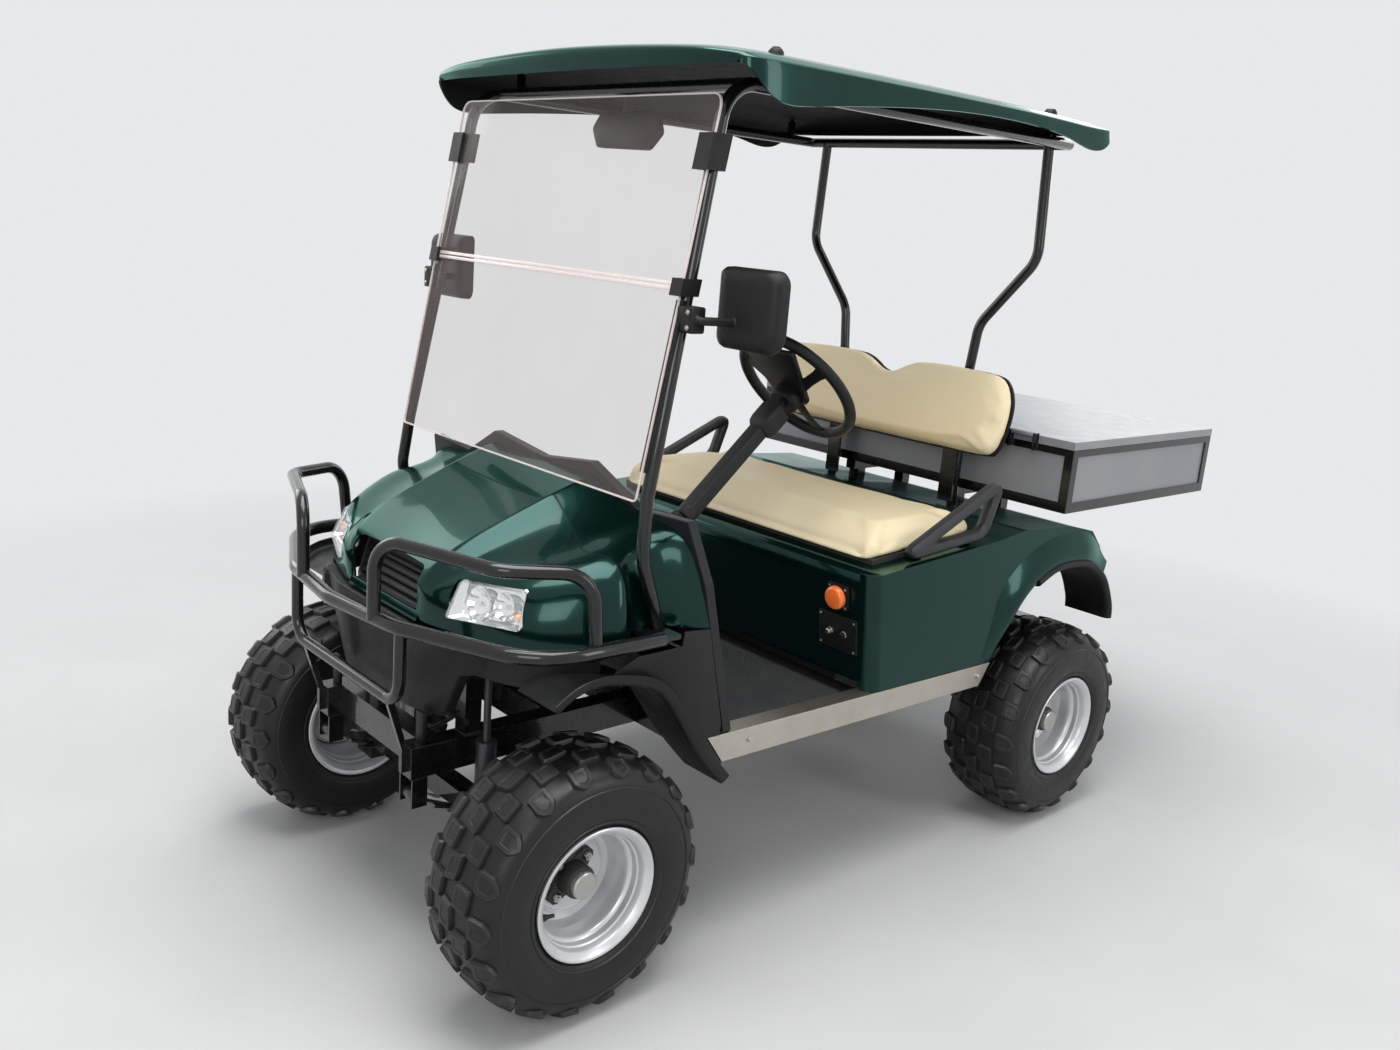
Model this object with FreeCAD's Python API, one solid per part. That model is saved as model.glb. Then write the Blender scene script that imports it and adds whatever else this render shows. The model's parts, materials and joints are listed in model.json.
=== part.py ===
import FreeCAD, Part
import os
from math import cos, hypot, radians, sin, tan

# A lifted two-seat electric utility cart with a cargo box, in millimetres.
# X points to the driver's side (the vehicle's left), Y to the rear, Z up.
# Everything is laid out about the middle of the wheelbase at ground level and
# moved at the end, so that the origin is at the middle of the footprint.

V = FreeCAD.Vector

# Driving dimensions
WHEELBASE = 1640.0
FRONT_OVERHANG = 292.0
REAR_OVERHANG = 688.0
FRONT_TRACK = 1005.0
REAR_TRACK = 1043.0
TYRE_OD = 566.0
TYRE_WIDTH = 250.0
RIM_BEAD_D = 254.0
RIM_FLANGE_D = 286.0
SHEET = 5.0
PANEL = 4.0
FIT = 0.3

FRONT_AXLE_Y = -WHEELBASE / 2
REAR_AXLE_Y = WHEELBASE / 2
FRONT_END_Y = FRONT_AXLE_Y - FRONT_OVERHANG
REAR_END_Y = REAR_AXLE_Y + REAR_OVERHANG
ORIGIN_Y = (FRONT_END_Y + REAR_END_Y) / 2
TYRE_R = TYRE_OD / 2
AXLE_Z = TYRE_R

# Steering gear
KINGPIN_INSET = 147.5
KINGPIN_X = FRONT_TRACK / 2 - KINGPIN_INSET
KINGPIN_R = 9.0
BOSS_R = 20.0
BOSS_HALF = 48.0
STEER_ARM = 110.0
STEER_ARM_Z = 372.0
ARM_THICK = 12.0
ARM_HALF_WIDTH = 11.0
TIE_ROD_R = 7.0
ROD_EYE_R = 14.0
ROD_EYE_HIGH = 16.0
PITMAN_X = 95.0
STEER_BOX = (85.0, 95.0, 70.0)
STEER_BOX_Z = 610.0

# Axles and springs
BEAM_HALF = 25.0
AXLE_TUBE_R = 35.0
SPRING_X = 195.0
SPRING_WIDE = 45.0
SPRING_LEAF = 8.0
SPRING_RISE = 45.0
REAR_SPRING_X = 320.0
SHOCK_R = 22.0
SHOCK_ROD_R = 8.0
SHOCK_BODY_SHARE = 0.52
SHOCK_CAP = 14.0
DIFF_R = 95.0
MOTOR_R = 95.0
MOTOR_LONG = 250.0
MOTOR_LAP = 30.0
MOTOR_CAP = 18.0

# Chassis frame
RAIL_X = 195.0
RAIL_WIDE = 50.0
RAIL_LOW_Z = 420.0
RAIL_TOP_Z = 490.0
RAIL_FRONT_Y = -1020.0
RAIL_REAR_Y = 1100.0
FLOOR_HALF_WIDTH = 500.0
SILL_WIDE = 50.0
BODY_HALF_WIDTH = FLOOR_HALF_WIDTH + SILL_WIDE
MAT_THICK = 6.0
FLOOR_TOP_Z = RAIL_TOP_Z + SHEET
# Outlines of the nose and of what lies on it are drawn for a body 550 mm to each side
ACROSS = BODY_HALF_WIDTH / 550.0

# Seat and rear body
KICK_Y = 20.0
SEAT_DECK_Z = 822.0
SEAT_HINGE_Y = 500.0
SEAT_FRONT_Y = 50.0
SEAT_INSET = 50.0
SEAT_HALF_WIDTH = BODY_HALF_WIDTH - SEAT_INSET
SEAT_THICK = 78.0
SEAT_BOARD = 12.0
BACK_HALF_WIDTH = 440.0
BACK_LOW_Z = 1017.0
BACK_TOP_Z = 1242.0
BACK_THICK = 75.0

# Cargo box
BOX_FRONT_Y = 731.5
BOX_LOW_Z = 904.0
BOX_HIGH = 197.0
BOX_HALF_WIDTH = 589.0
BOX_BAR = 28.0
BOX_PANEL = 4.0
LID_THICK = 22.0
LID_HINGE_X = 430.0
LID_HINGE_OUT = 9.0
LID_HINGE_Y = BOX_FRONT_Y - LID_HINGE_OUT
LID_HINGE_Z = BOX_LOW_Z + BOX_HIGH

# Roof and its tubes
STRUT_R = 14.0
ROOF_RAIL_X = 455.0
ROOF_RAIL_Z = 1862.0
ROOF_CROSS_Y = -440.0
REAR_STRUT_Y = 705.0
REAR_STRUT_FOOT_X = 236.0
ROOF_WALL = 5.0
GLASS = 5.0
GUARD_R = 16.0
GUARD_Z = 768.0

# Hubs, pins and brackets
HUB_R = 30.0
HUB_IN = -95.0
SPINDLE_R = 14.0
SPINDLE_DEEP = 120.0
LUG_CIRCLE_R = 50.8
YOKE = 15.0
BALL_PIN_R = 6.0
PITMAN_SHAFT_R = 11.0
PITMAN_SHAFT_IN = 40.0
NECK_LONG = 25.0
EYE_R = 15.0
EYE_PIN_R = 6.0
FRONT_SPRING_HALF = 180.0
REAR_SPRING_HALF = 220.0
FRONT_LEAVES = 3
REAR_LEAVES = 4
FRONT_SPRING_SEAT_Z = AXLE_Z + BEAM_HALF
REAR_SPRING_SEAT_Z = AXLE_Z + AXLE_TUBE_R
SHOCK_X = SPRING_X + 75.0
SHOCK_FRONT_Y = FRONT_AXLE_Y - 52.0
SHOCK_REAR_Y = REAR_AXLE_Y - 65.0
SHOCK_TAB = 18.0
SHOCK_TAB_Z = (AXLE_Z - 6.0, AXLE_Z + 14.0)
HOOP_Y = SHOCK_FRONT_Y
HOOP_BAR = 20.0
HOOP_HIGH = 30.0
HOOP_Z = STEER_BOX_Z + STEER_BOX[2]
REAR_BAR_Z = 600.0
DIFF_WIDE = 150.0
MOTOR_Z = AXLE_Z + 20.0
POST_Y = (REAR_AXLE_Y - 40.0, REAR_AXLE_Y + 190.0)
BED_RAIL_Z = BOX_LOW_Z - 30.0

# Cross members: place along the frame, half length
CROSS_MEMBERS = (
    (-960.0, RAIL_X),
    (-640.0, RAIL_X),
    (-400.0, FLOOR_HALF_WIDTH),
    (40.0, FLOOR_HALF_WIDTH),
    (480.0, FLOOR_HALF_WIDTH),
    (REAR_AXLE_Y - REAR_SPRING_HALF, REAR_SPRING_X + 30.0),
    (REAR_STRUT_Y, REAR_STRUT_FOOT_X + 24.0),
    (REAR_AXLE_Y + REAR_SPRING_HALF, REAR_SPRING_X + 30.0),
)


def box(x0, x1, y0, y1, z0, z1):
    return Part.makeBox(x1 - x0, y1 - y0, z1 - z0, V(x0, y0, z0))


def sided(x0, x1, y0, y1, z0, z1, side):
    """A box on one side: side is 1 for the left of the vehicle and -1 for its right."""
    low, high = sorted((side * x0, side * x1))
    return box(low, high, y0, y1, z0, z1)


def rod(start, end, radius):
    along = V(*end) - V(*start)
    return Part.makeCylinder(radius, along.Length, V(*start), along)


def prism(points, move):
    wire = Part.makePolygon([V(*p) for p in points] + [V(*points[0])])
    return Part.Face(wire).extrude(V(*move))


def prism_x(points, x0, x1):
    """Points are (y, z)."""
    return prism([(x0, y, z) for y, z in points], (x1 - x0, 0, 0))


def prism_y(points, y0, y1):
    """Points are (x, z)."""
    return prism([(x, y0, z) for x, z in points], (0, y1 - y0, 0))


def prism_z(points, z0, z1):
    """Points are (x, y)."""
    return prism([(x, y, z0) for x, y in points], (0, 0, z1 - z0))


def mirror(shape):
    return shape.mirror(V(0, 0, 0), V(1, 0, 0))


def fuse(shapes):
    first = shapes[0]
    if len(shapes) == 1:
        return first
    return first.fuse(shapes[1:]).removeSplitter()


def path_wire(points, bend):
    """Straight runs joined by tangent arcs of one bend radius, smaller where a run is short."""
    points = [V(*p) for p in points]
    edges = []
    start = points[0]
    for before, corner, after in zip(points, points[1:], points[2:]):
        into = (corner - before).normalize()
        out = (after - corner).normalize()
        turn = into.getAngle(out)
        room = 0.45 * min((corner - before).Length, (after - corner).Length)
        set_back = min(bend * tan(turn / 2), room)
        radius = set_back / tan(turn / 2)
        arc_start = corner - into * set_back
        arc_end = corner + out * set_back
        middle = (out - into).normalize()
        to_centre = radius / cos(turn / 2)
        arc_middle = corner + middle * (to_centre - radius)
        edges.append(Part.LineSegment(start, arc_start).toShape())
        edges.append(Part.Arc(arc_start, arc_middle, arc_end).toShape())
        start = arc_end
    edges.append(Part.LineSegment(start, points[-1]).toShape())
    return Part.Wire(edges)


def tube(points, radius, bend):
    wire = path_wire(points, bend)
    direction = V(*points[1]) - V(*points[0])
    ring = Part.Wire([Part.Circle(V(*points[0]), direction, radius).toShape()])
    pipe = wire.makePipeShell([ring], True, False)
    return pipe


def turned(profile, centre, axis):
    """Revolve a closed (radius, along) outline about an axis along X through centre."""
    points = [V(centre[0] + axis * along, centre[1], centre[2] + radius) for radius, along in profile]
    face = Part.Face(Part.makePolygon(points + [points[0]]))
    return face.revolve(V(*centre), V(1, 0, 0), 360)


def half_outline(row, columns):
    return [(row[2 * i + 1] * ACROSS, row[2 * i + 2]) for i in range(columns)]


def section(row, columns, inset, drop):
    """One closed section of a body: y, then (half width, height) pairs from the lower edge up,
    then the height on the centre line. inset moves it inwards and drop opens it below."""
    y = row[0]
    half = half_outline(row, columns)
    half = [(x - inset, z - inset) for x, z in half]
    half[0] = (half[0][0], half[0][1] - drop)
    left = [V(x, y, z) for x, z in half]
    right = [V(-x, y, z) for x, z in reversed(half)]
    centre = [V(0, y, row[-1] - inset)]
    ring = left + centre + right
    return Part.makePolygon(ring + [ring[0]])


def shell(rows, columns, wall, drop, open_front, open_rear):
    """A thin body through the sections in rows, open below and at the ends that are asked for."""
    outer = Part.makeLoft([section(row, columns, 0, 0) for row in rows], True, True)
    inner_rows = [list(row) for row in rows]
    inner_rows[0][0] += -drop if open_front else wall
    inner_rows[-1][0] += drop if open_rear else -wall
    inner = Part.makeLoft([section(row, columns, wall, drop) for row in inner_rows], True, True)
    return outer.cut(inner)


# Wheels

TYRE_FACETS = 24
TYRE_BEAD_IN = 18.0
TYRE_LIP = 2.0
TYRE_SHOULDER = 52.0
LUG_HIGH = 9.5
LUG_PITCHES = 18
# Rows of lugs: the outline of one lug as (distance out from the middle plane, distance in from the
# tips), half its length round the tyre, and the share of a pitch that its row is turned by
LUG_ROWS = (
    (((-40.0, 20.0), (-40.0, 0.0), (40.0, 0.0), (40.0, 20.0)), 25.0, 0.0),
    (((77.0, 18.0), (77.0, 2.0), (106.0, 12.0), (121.0, 66.0)), 24.0, 0.5),
    (((-77.0, 18.0), (-77.0, 2.0), (-106.0, 12.0), (-121.0, 66.0)), 24.0, 0.5),
)


def tyre_carcass():
    """A ring of flat facets about X with its middle at the origin, its bore round the rim's bead."""
    half = TYRE_WIDTH / 2
    bead = RIM_BEAD_D / 2
    bead_half = half - TYRE_BEAD_IN
    lip = RIM_FLANGE_D / 2 + TYRE_LIP
    belt = TYRE_R - LUG_HIGH
    wide_r = bead + 0.6 * (belt - bead)
    profile = [(bead, bead_half), (lip, bead_half), (wide_r, half), (belt, half - TYRE_SHOULDER)]
    profile += [(radius, -along) for radius, along in reversed(profile)]
    to_corner = 1 / cos(radians(180 / TYRE_FACETS))
    rings = []
    for k in range(TYRE_FACETS):
        angle = radians(360 * (k + 0.5) / TYRE_FACETS)
        rings.append([V(along, radius * to_corner * sin(angle), radius * to_corner * cos(angle))
                      for radius, along in profile])
    faces = []
    for ring, after in zip(rings, rings[1:] + rings[:1]):
        for i in range(len(profile)):
            j = (i + 1) % len(profile)
            corners = [ring[i], ring[j], after[j], after[i]]
            faces.append(Part.Face(Part.makePolygon(corners + corners[:1])))
    return Part.Solid(Part.Shell(faces))


def tyre():
    """The carcass with its rows of lugs, which end at the tyre's outer radius."""
    lugs = []
    for outline, half_long, turn in LUG_ROWS:
        lug = prism([(along, -half_long, TYRE_R - down) for along, down in outline], (0, 2 * half_long, 0))
        for k in range(LUG_PITCHES):
            copy = lug.copy()
            copy.rotate(V(0, 0, 0), V(1, 0, 0), 360 * (k + turn) / LUG_PITCHES)
            lugs.append(copy)
    return tyre_carcass().fuse(lugs)


# Rim sections, out from the middle plane
RIM_WELL_DEEP = 13.0
RIM_WELL_HALF = 76.0
RIM_SLOPE = 12.0
DISC_OUT = 10.0
CAP_OUT = 62.0
DRUM_R = 64.0
DRUM_IN = 22.0
NUT_R = 9.5
NUT_HIGH = 16.0
WHEEL_NUTS = 4


def wheel(x, y, side):
    """A stepped steel rim with its disc, hub, cap and lug nuts."""
    bead = RIM_BEAD_D / 2 - FIT
    lip = RIM_FLANGE_D / 2
    seat = TYRE_WIDTH / 2 - TYRE_BEAD_IN + FIT
    flange = seat + SHEET
    well = bead - RIM_WELL_DEEP
    in_bead = bead - SHEET
    in_well = well - SHEET
    slope = RIM_WELL_HALF + RIM_SLOPE
    profile = [
        (lip, -flange), (lip, -seat), (bead, -seat), (bead, -slope), (well, -RIM_WELL_HALF),
        (well, RIM_WELL_HALF), (bead, slope), (bead, seat), (lip, seat), (lip, flange),
        (in_bead, flange), (in_bead, slope + 2), (in_well, RIM_WELL_HALF + 2), (in_well, DISC_OUT),
        (HUB_R, DISC_OUT), (HUB_R, DISC_OUT - SHEET), (in_well, DISC_OUT - SHEET),
        (in_well, -RIM_WELL_HALF - 2), (in_bead, -slope - 2), (in_bead, -flange)]
    rim = turned(profile, (x, y, AXLE_Z), side)
    at = lambda along: (x + side * along, y, AXLE_Z)
    parts = [rim, rod(at(HUB_IN), at(DISC_OUT + CAP_OUT), HUB_R), rod(at(-DRUM_IN), at(DISC_OUT - SHEET), DRUM_R)]
    for k in range(WHEEL_NUTS):
        angle = radians(45 + 360 * k / WHEEL_NUTS)
        nut_y = y + LUG_CIRCLE_R * cos(angle)
        nut_z = AXLE_Z + LUG_CIRCLE_R * sin(angle)
        low_x, high_x = x + side * DISC_OUT, x + side * (DISC_OUT + NUT_HIGH)
        parts.append(rod((low_x, nut_y, nut_z), (high_x, nut_y, nut_z), NUT_R))
    hole = rod(at(HUB_IN - 1), at(HUB_IN + SPINDLE_DEEP), SPINDLE_R + FIT)
    return fuse(parts).cut(hole)


# Front axle and steering

YOKE_DEEP = 50.0
YOKE_HALF = 22.0
PIN_HOLE_HALF = 100.0


def front_axle():
    """A square beam with a yoke round each kingpin boss and a tab for each shock absorber."""
    y = FRONT_AXLE_Y
    beam_end = KINGPIN_X + BOSS_R - YOKE_DEEP - BOSS_R
    parts = [box(-beam_end, beam_end, y - BEAM_HALF, y + BEAM_HALF, AXLE_Z - BEAM_HALF, AXLE_Z + BEAM_HALF)]
    reach = BOSS_HALF + FIT
    for side in (1, -1):
        parts.append(sided(beam_end - 6, beam_end + 10, y - YOKE_HALF - 2, y + YOKE_HALF + 2,
                           AXLE_Z - reach - YOKE, AXLE_Z + reach + YOKE, side))
        for low in (AXLE_Z - reach - YOKE, AXLE_Z + reach):
            parts.append(sided(beam_end, KINGPIN_X + BOSS_R, y - YOKE_HALF, y + YOKE_HALF, low, low + YOKE, side))
        parts.append(sided(SHOCK_X - SHOCK_TAB, SHOCK_X + SHOCK_TAB, SHOCK_FRONT_Y - SHOCK_TAB + 2,
                           y - BEAM_HALF + 1, *SHOCK_TAB_Z, side))
    axle = fuse(parts)
    for side in (1, -1):
        pin = side * KINGPIN_X
        axle = axle.cut(rod((pin, y, AXLE_Z - PIN_HOLE_HALF), (pin, y, AXLE_Z + PIN_HOLE_HALF), KINGPIN_R + FIT))
    return axle


ARM_ROOT_Z = (AXLE_Z + 4.0, AXLE_Z + 30.0)
ARM_STEP_Y = (44.0, 58.0)
PIN_OVER = 2.0


def knuckle(side):
    """The kingpin boss with its pin, the wheel spindle and the steering arm with its ball pin."""
    x = side * KINGPIN_X
    y = FRONT_AXLE_Y
    reach = BOSS_HALF + FIT + YOKE
    hub_face = FRONT_TRACK / 2 + HUB_IN
    low_z = STEER_ARM_Z - ARM_THICK / 2
    top_z = STEER_ARM_Z + ARM_THICK / 2
    tip_y = y + STEER_ARM
    root_low, root_top = ARM_ROOT_Z
    step_front, step_rear = y + ARM_STEP_Y[0], y + ARM_STEP_Y[1]
    x0, x1 = x - ARM_HALF_WIDTH, x + ARM_HALF_WIDTH
    parts = [
        rod((x, y, AXLE_Z - BOSS_HALF), (x, y, AXLE_Z + BOSS_HALF), BOSS_R),
        rod((x, y, AXLE_Z - reach), (x, y, AXLE_Z + reach), KINGPIN_R),
        rod((x, y, AXLE_Z), (side * (hub_face - 1), y, AXLE_Z), SPINDLE_R + 5),
        rod((x, y, AXLE_Z), (side * (hub_face + SPINDLE_DEEP - 1), y, AXLE_Z), SPINDLE_R),
        box(x0, x1, y + BOSS_R / 2, step_rear, root_low, root_top),
        box(x0, x1, step_front, step_rear, root_low, top_z),
        box(x0, x1, step_front, tip_y, low_z, top_z),
        rod((x, tip_y, low_z), (x, tip_y, top_z), ROD_EYE_R),
        rod((x, tip_y, low_z), (x, tip_y, top_z + ROD_EYE_HIGH + PIN_OVER), BALL_PIN_R)]
    return fuse(parts)


def tie_rod():
    """One relay rod over both steering arms and the pitman arm."""
    y = FRONT_AXLE_Y + STEER_ARM
    low_z = STEER_ARM_Z + ARM_THICK / 2 + FIT
    mid_z = low_z + ROD_EYE_HIGH / 2
    places = (KINGPIN_X, PITMAN_X, -KINGPIN_X)
    parts = [rod((-KINGPIN_X, y, mid_z), (KINGPIN_X, y, mid_z), TIE_ROD_R)]
    parts += [rod((x, y, low_z), (x, y, low_z + ROD_EYE_HIGH), ROD_EYE_R) for x in places]
    body = fuse(parts)
    for x in places:
        body = body.cut(rod((x, y, low_z - 5), (x, y, low_z + ROD_EYE_HIGH + 5), BALL_PIN_R + FIT))
    return body


def pitman_arm():
    y = FRONT_AXLE_Y
    low_z = STEER_ARM_Z - ARM_THICK / 2
    top_z = STEER_ARM_Z + ARM_THICK / 2
    tip_y = y + STEER_ARM
    x = PITMAN_X
    return fuse([
        rod((x, y, low_z), (x, y, top_z), ROD_EYE_R + 2),
        rod((x, y, low_z), (x, y, STEER_BOX_Z + PITMAN_SHAFT_IN), PITMAN_SHAFT_R),
        box(x - ARM_HALF_WIDTH, x + ARM_HALF_WIDTH, y, tip_y, low_z, top_z),
        rod((x, tip_y, low_z), (x, tip_y, top_z), ROD_EYE_R),
        rod((x, tip_y, low_z), (x, tip_y, top_z + ROD_EYE_HIGH + PIN_OVER), BALL_PIN_R)])


def steering_box():
    wide, long, high = STEER_BOX
    y = FRONT_AXLE_Y
    body = box(PITMAN_X - wide / 2, PITMAN_X + wide / 2, y - long / 2, y + long / 2,
               STEER_BOX_Z, STEER_BOX_Z + high)
    neck_low = STEER_BOX_Z - NECK_LONG
    neck = rod((PITMAN_X, y, neck_low), (PITMAN_X, y, STEER_BOX_Z + 1), 2 * PITMAN_SHAFT_R)
    shaft = rod((PITMAN_X, y, neck_low - 1), (PITMAN_X, y, STEER_BOX_Z + PITMAN_SHAFT_IN + 1), PITMAN_SHAFT_R + FIT)
    return fuse([body, neck]).cut(shaft)


SPRING_FLAT = 32.0
LEAF_STEP = 0.22


def leaf_pack(x, y, half, seat_z, leaves):
    """Curved leaves, the longest on top with an eye at each end, flat over the axle."""
    flat = SPRING_FLAT
    parts = []
    for k in range(leaves):
        low = seat_z + SPRING_LEAF * (leaves - 1 - k)
        reach = half * (1 - LEAF_STEP * k)
        stations = [flat, flat + (reach - flat) * 0.5, reach]
        line = [(s, low + SPRING_RISE * ((s - flat) / (half - flat)) ** 2) for s in stations]
        under = [(y - s, z) for s, z in reversed(line)] + [(y + s, z) for s, z in line]
        over = [(yy, zz + SPRING_LEAF) for yy, zz in reversed(under)]
        parts.append(prism_x(under + over, x - SPRING_WIDE / 2, x + SPRING_WIDE / 2))
    eye_z = spring_eye_z(seat_z, leaves)
    for end in (-half, half):
        parts.append(rod((x - SPRING_WIDE / 2, y + end, eye_z), (x + SPRING_WIDE / 2, y + end, eye_z), EYE_R))
    pack = fuse(parts)
    for end in (-half, half):
        pack = pack.cut(rod((x - SPRING_WIDE, y + end, eye_z), (x + SPRING_WIDE, y + end, eye_z),
                            EYE_PIN_R + FIT))
    return pack


def spring_eye_z(seat_z, leaves):
    return seat_z + SPRING_LEAF * (leaves - 1) + SPRING_RISE + SPRING_LEAF / 2


def leaf_springs():
    packs = []
    for side in (1, -1):
        packs.append(leaf_pack(side * SPRING_X, FRONT_AXLE_Y, FRONT_SPRING_HALF,
                               FRONT_SPRING_SEAT_Z, FRONT_LEAVES))
        packs.append(leaf_pack(side * REAR_SPRING_X, REAR_AXLE_Y, REAR_SPRING_HALF,
                               REAR_SPRING_SEAT_Z, REAR_LEAVES))
    return Part.makeCompound(packs)


def shock(x, y, low_z, top_z):
    middle = low_z + SHOCK_BODY_SHARE * (top_z - low_z)
    return fuse([rod((x, y, low_z), (x, y, middle), SHOCK_R),
                 rod((x, y, middle), (x, y, top_z), SHOCK_ROD_R),
                 rod((x, y, top_z - SHOCK_CAP), (x, y, top_z), 2 * SHOCK_ROD_R)])


def shock_absorbers():
    shocks = []
    for side in (1, -1):
        shocks.append(shock(side * SHOCK_X, SHOCK_FRONT_Y, SHOCK_TAB_Z[1], HOOP_Z))
        shocks.append(shock(side * SHOCK_X, SHOCK_REAR_Y, SHOCK_TAB_Z[1], REAR_BAR_Z))
    return Part.makeCompound(shocks)


def rear_axle():
    y = REAR_AXLE_Y
    hub_face = REAR_TRACK / 2 + HUB_IN
    parts = [rod((-hub_face + 1, y, AXLE_Z), (hub_face - 1, y, AXLE_Z), AXLE_TUBE_R),
             rod((-DIFF_WIDE / 2, y, AXLE_Z), (DIFF_WIDE / 2, y, AXLE_Z), DIFF_R),
             rod((-hub_face - SPINDLE_DEEP + 1, y, AXLE_Z), (hub_face + SPINDLE_DEEP - 1, y, AXLE_Z), SPINDLE_R)]
    for side in (1, -1):
        pad = SPRING_WIDE / 2 + SPRING_LEAF
        parts.append(sided(REAR_SPRING_X - pad, REAR_SPRING_X + pad, y - SPRING_FLAT, y + SPRING_FLAT,
                           AXLE_Z, REAR_SPRING_SEAT_Z, side))
        parts.append(sided(SHOCK_X - SHOCK_TAB, SHOCK_X + SHOCK_TAB, SHOCK_REAR_Y - SHOCK_TAB + 2, y,
                           *SHOCK_TAB_Z, side))
    return fuse(parts)


def drive_motor():
    """The motor stands against the side of the differential, with its shaft in line with the axle."""
    y = REAR_AXLE_Y - DIFF_R - MOTOR_R + MOTOR_LAP
    end = DIFF_WIDE / 2 + FIT
    case = rod((end - MOTOR_LONG, y, MOTOR_Z), (end, y, MOTOR_Z), MOTOR_R)
    cap = rod((end - 1, y, MOTOR_Z), (end + MOTOR_CAP, y, MOTOR_Z), MOTOR_R - MOTOR_CAP)
    housing = rod((-DIFF_WIDE, REAR_AXLE_Y, AXLE_Z), (DIFF_WIDE, REAR_AXLE_Y, AXLE_Z), DIFF_R)
    return fuse([case, cap]).cut(housing)


# Chassis frame

HANGER_HALF = 18.0
POST_HALF = 18.0
BED_CLEAR = 12.0
BED_SHORT = 30.0


def hanger(x, y, eye_z):
    """Two ears under the frame with the pin of one spring eye."""
    gap = SPRING_WIDE / 2 + FIT
    low = eye_z - HANGER_HALF
    ears = [box(x - gap - SHEET, x - gap, y - HANGER_HALF, y + HANGER_HALF, low, RAIL_LOW_Z),
            box(x + gap, x + gap + SHEET, y - HANGER_HALF, y + HANGER_HALF, low, RAIL_LOW_Z)]
    return ears + [rod((x - gap - SHEET, y, eye_z), (x + gap + SHEET, y, eye_z), EYE_PIN_R)]


def chassis_frame():
    """Rails, cross members, the hoop over the front axle, the rear posts and the bed rails."""
    half = RAIL_WIDE / 2
    parts = []
    for side in (1, -1):
        parts.append(sided(RAIL_X - half, RAIL_X + half, RAIL_FRONT_Y, RAIL_REAR_Y,
                           RAIL_LOW_Z, RAIL_TOP_Z, side))
        parts.append(sided(RAIL_X - HOOP_BAR, RAIL_X + HOOP_BAR, HOOP_Y - HOOP_BAR, HOOP_Y + HOOP_BAR,
                           RAIL_TOP_Z, HOOP_Z + HOOP_HIGH, side))
        for y in (FRONT_AXLE_Y - FRONT_SPRING_HALF, FRONT_AXLE_Y + FRONT_SPRING_HALF):
            parts += hanger(side * SPRING_X, y, spring_eye_z(FRONT_SPRING_SEAT_Z, FRONT_LEAVES))
        for y in (REAR_AXLE_Y - REAR_SPRING_HALF, REAR_AXLE_Y + REAR_SPRING_HALF):
            parts += hanger(side * REAR_SPRING_X, y, spring_eye_z(REAR_SPRING_SEAT_Z, REAR_LEAVES))
        for y in POST_Y:
            parts.append(sided(RAIL_X - POST_HALF, RAIL_X + POST_HALF, y - POST_HALF, y + POST_HALF,
                               RAIL_TOP_Z, BED_RAIL_Z, side))
        parts.append(sided(RAIL_X - POST_HALF, RAIL_X + POST_HALF, BOX_FRONT_Y + BED_CLEAR,
                           REAR_END_Y - BED_SHORT, BED_RAIL_Z, BOX_LOW_Z, side))
    for y, reach in CROSS_MEMBERS:
        parts.append(box(-reach, reach, y - half, y + half, RAIL_LOW_Z, RAIL_TOP_Z))
    reach = SHOCK_X + HOOP_BAR
    parts.append(box(-reach, reach, HOOP_Y - HOOP_BAR, HOOP_Y + HOOP_BAR, HOOP_Z, HOOP_Z + HOOP_HIGH))
    parts.append(box(-reach, reach, SHOCK_REAR_Y - POST_HALF, SHOCK_REAR_Y + POST_HALF,
                     REAR_BAR_Z, REAR_BAR_Z + HOOP_HIGH))
    return fuse(parts)


# Front body

# Half sections of the cowl: y, then x and z at the lower edge, side, shoulder, valley and ridge,
# then z on the centre line. The narrow sections leave the recess that each front strut stands in.
COWL = (
    (-982, 150, 742, 172, 780, 176, 815, 172, 822, 160, 828, 812),
    (-950, 262, 742, 266, 790, 245, 826, 215, 846, 176, 862, 846),
    (-905, 405, 738, 402, 800, 340, 858, 240, 868, 180, 892, 876),
    (-850, 468, 728, 462, 810, 410, 884, 270, 886, 184, 920, 905),
    (-760, 515, 712, 512, 830, 466, 918, 300, 905, 188, 960, 945),
    (-705, 524, 706, 521, 842, 482, 938, 310, 922, 190, 985, 972),
    (-682, 478, 704, 476, 846, 467, 944, 314, 930, 191, 995, 982),
    (-594, 480, 701, 478, 862, 473, 966, 332, 962, 193, 1028, 1016),
    (-574, 544, 700, 542, 868, 508, 990, 335, 968, 194, 1034, 1022),
    (-450, 548, 698, 546, 880, 514, 1010, 345, 1000, 196, 1075, 1060),
)
COWL_COLUMNS = 5
COWL_TOP_Z = 1200.0
SHELL_OPEN = 60.0
COWL_CUT_TOP = (-585.0, 1060.0)
COWL_CUT_LOW = (-453.0, 541.0)
GRILLE_TOP_Z = 858.0
GRILLE_LOW_Z = 758.0
GRILLE_TOP_X = 148.0
GRILLE_LOW_X = 140.0
GRILLE_BARS = 4
GRILLE_BAR = 4.0
GRILLE_BAR_RISE = 7.0
GRILLE_Y = (-976.0, -925.0)
GRILLE_HOLE_REAR_Y = -900.0
# The leaning face of the grille: y, z low on it and high on it
GRILLE_LEAN = ((-978.0, 740.0), (-918.0, 900.0))
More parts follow.
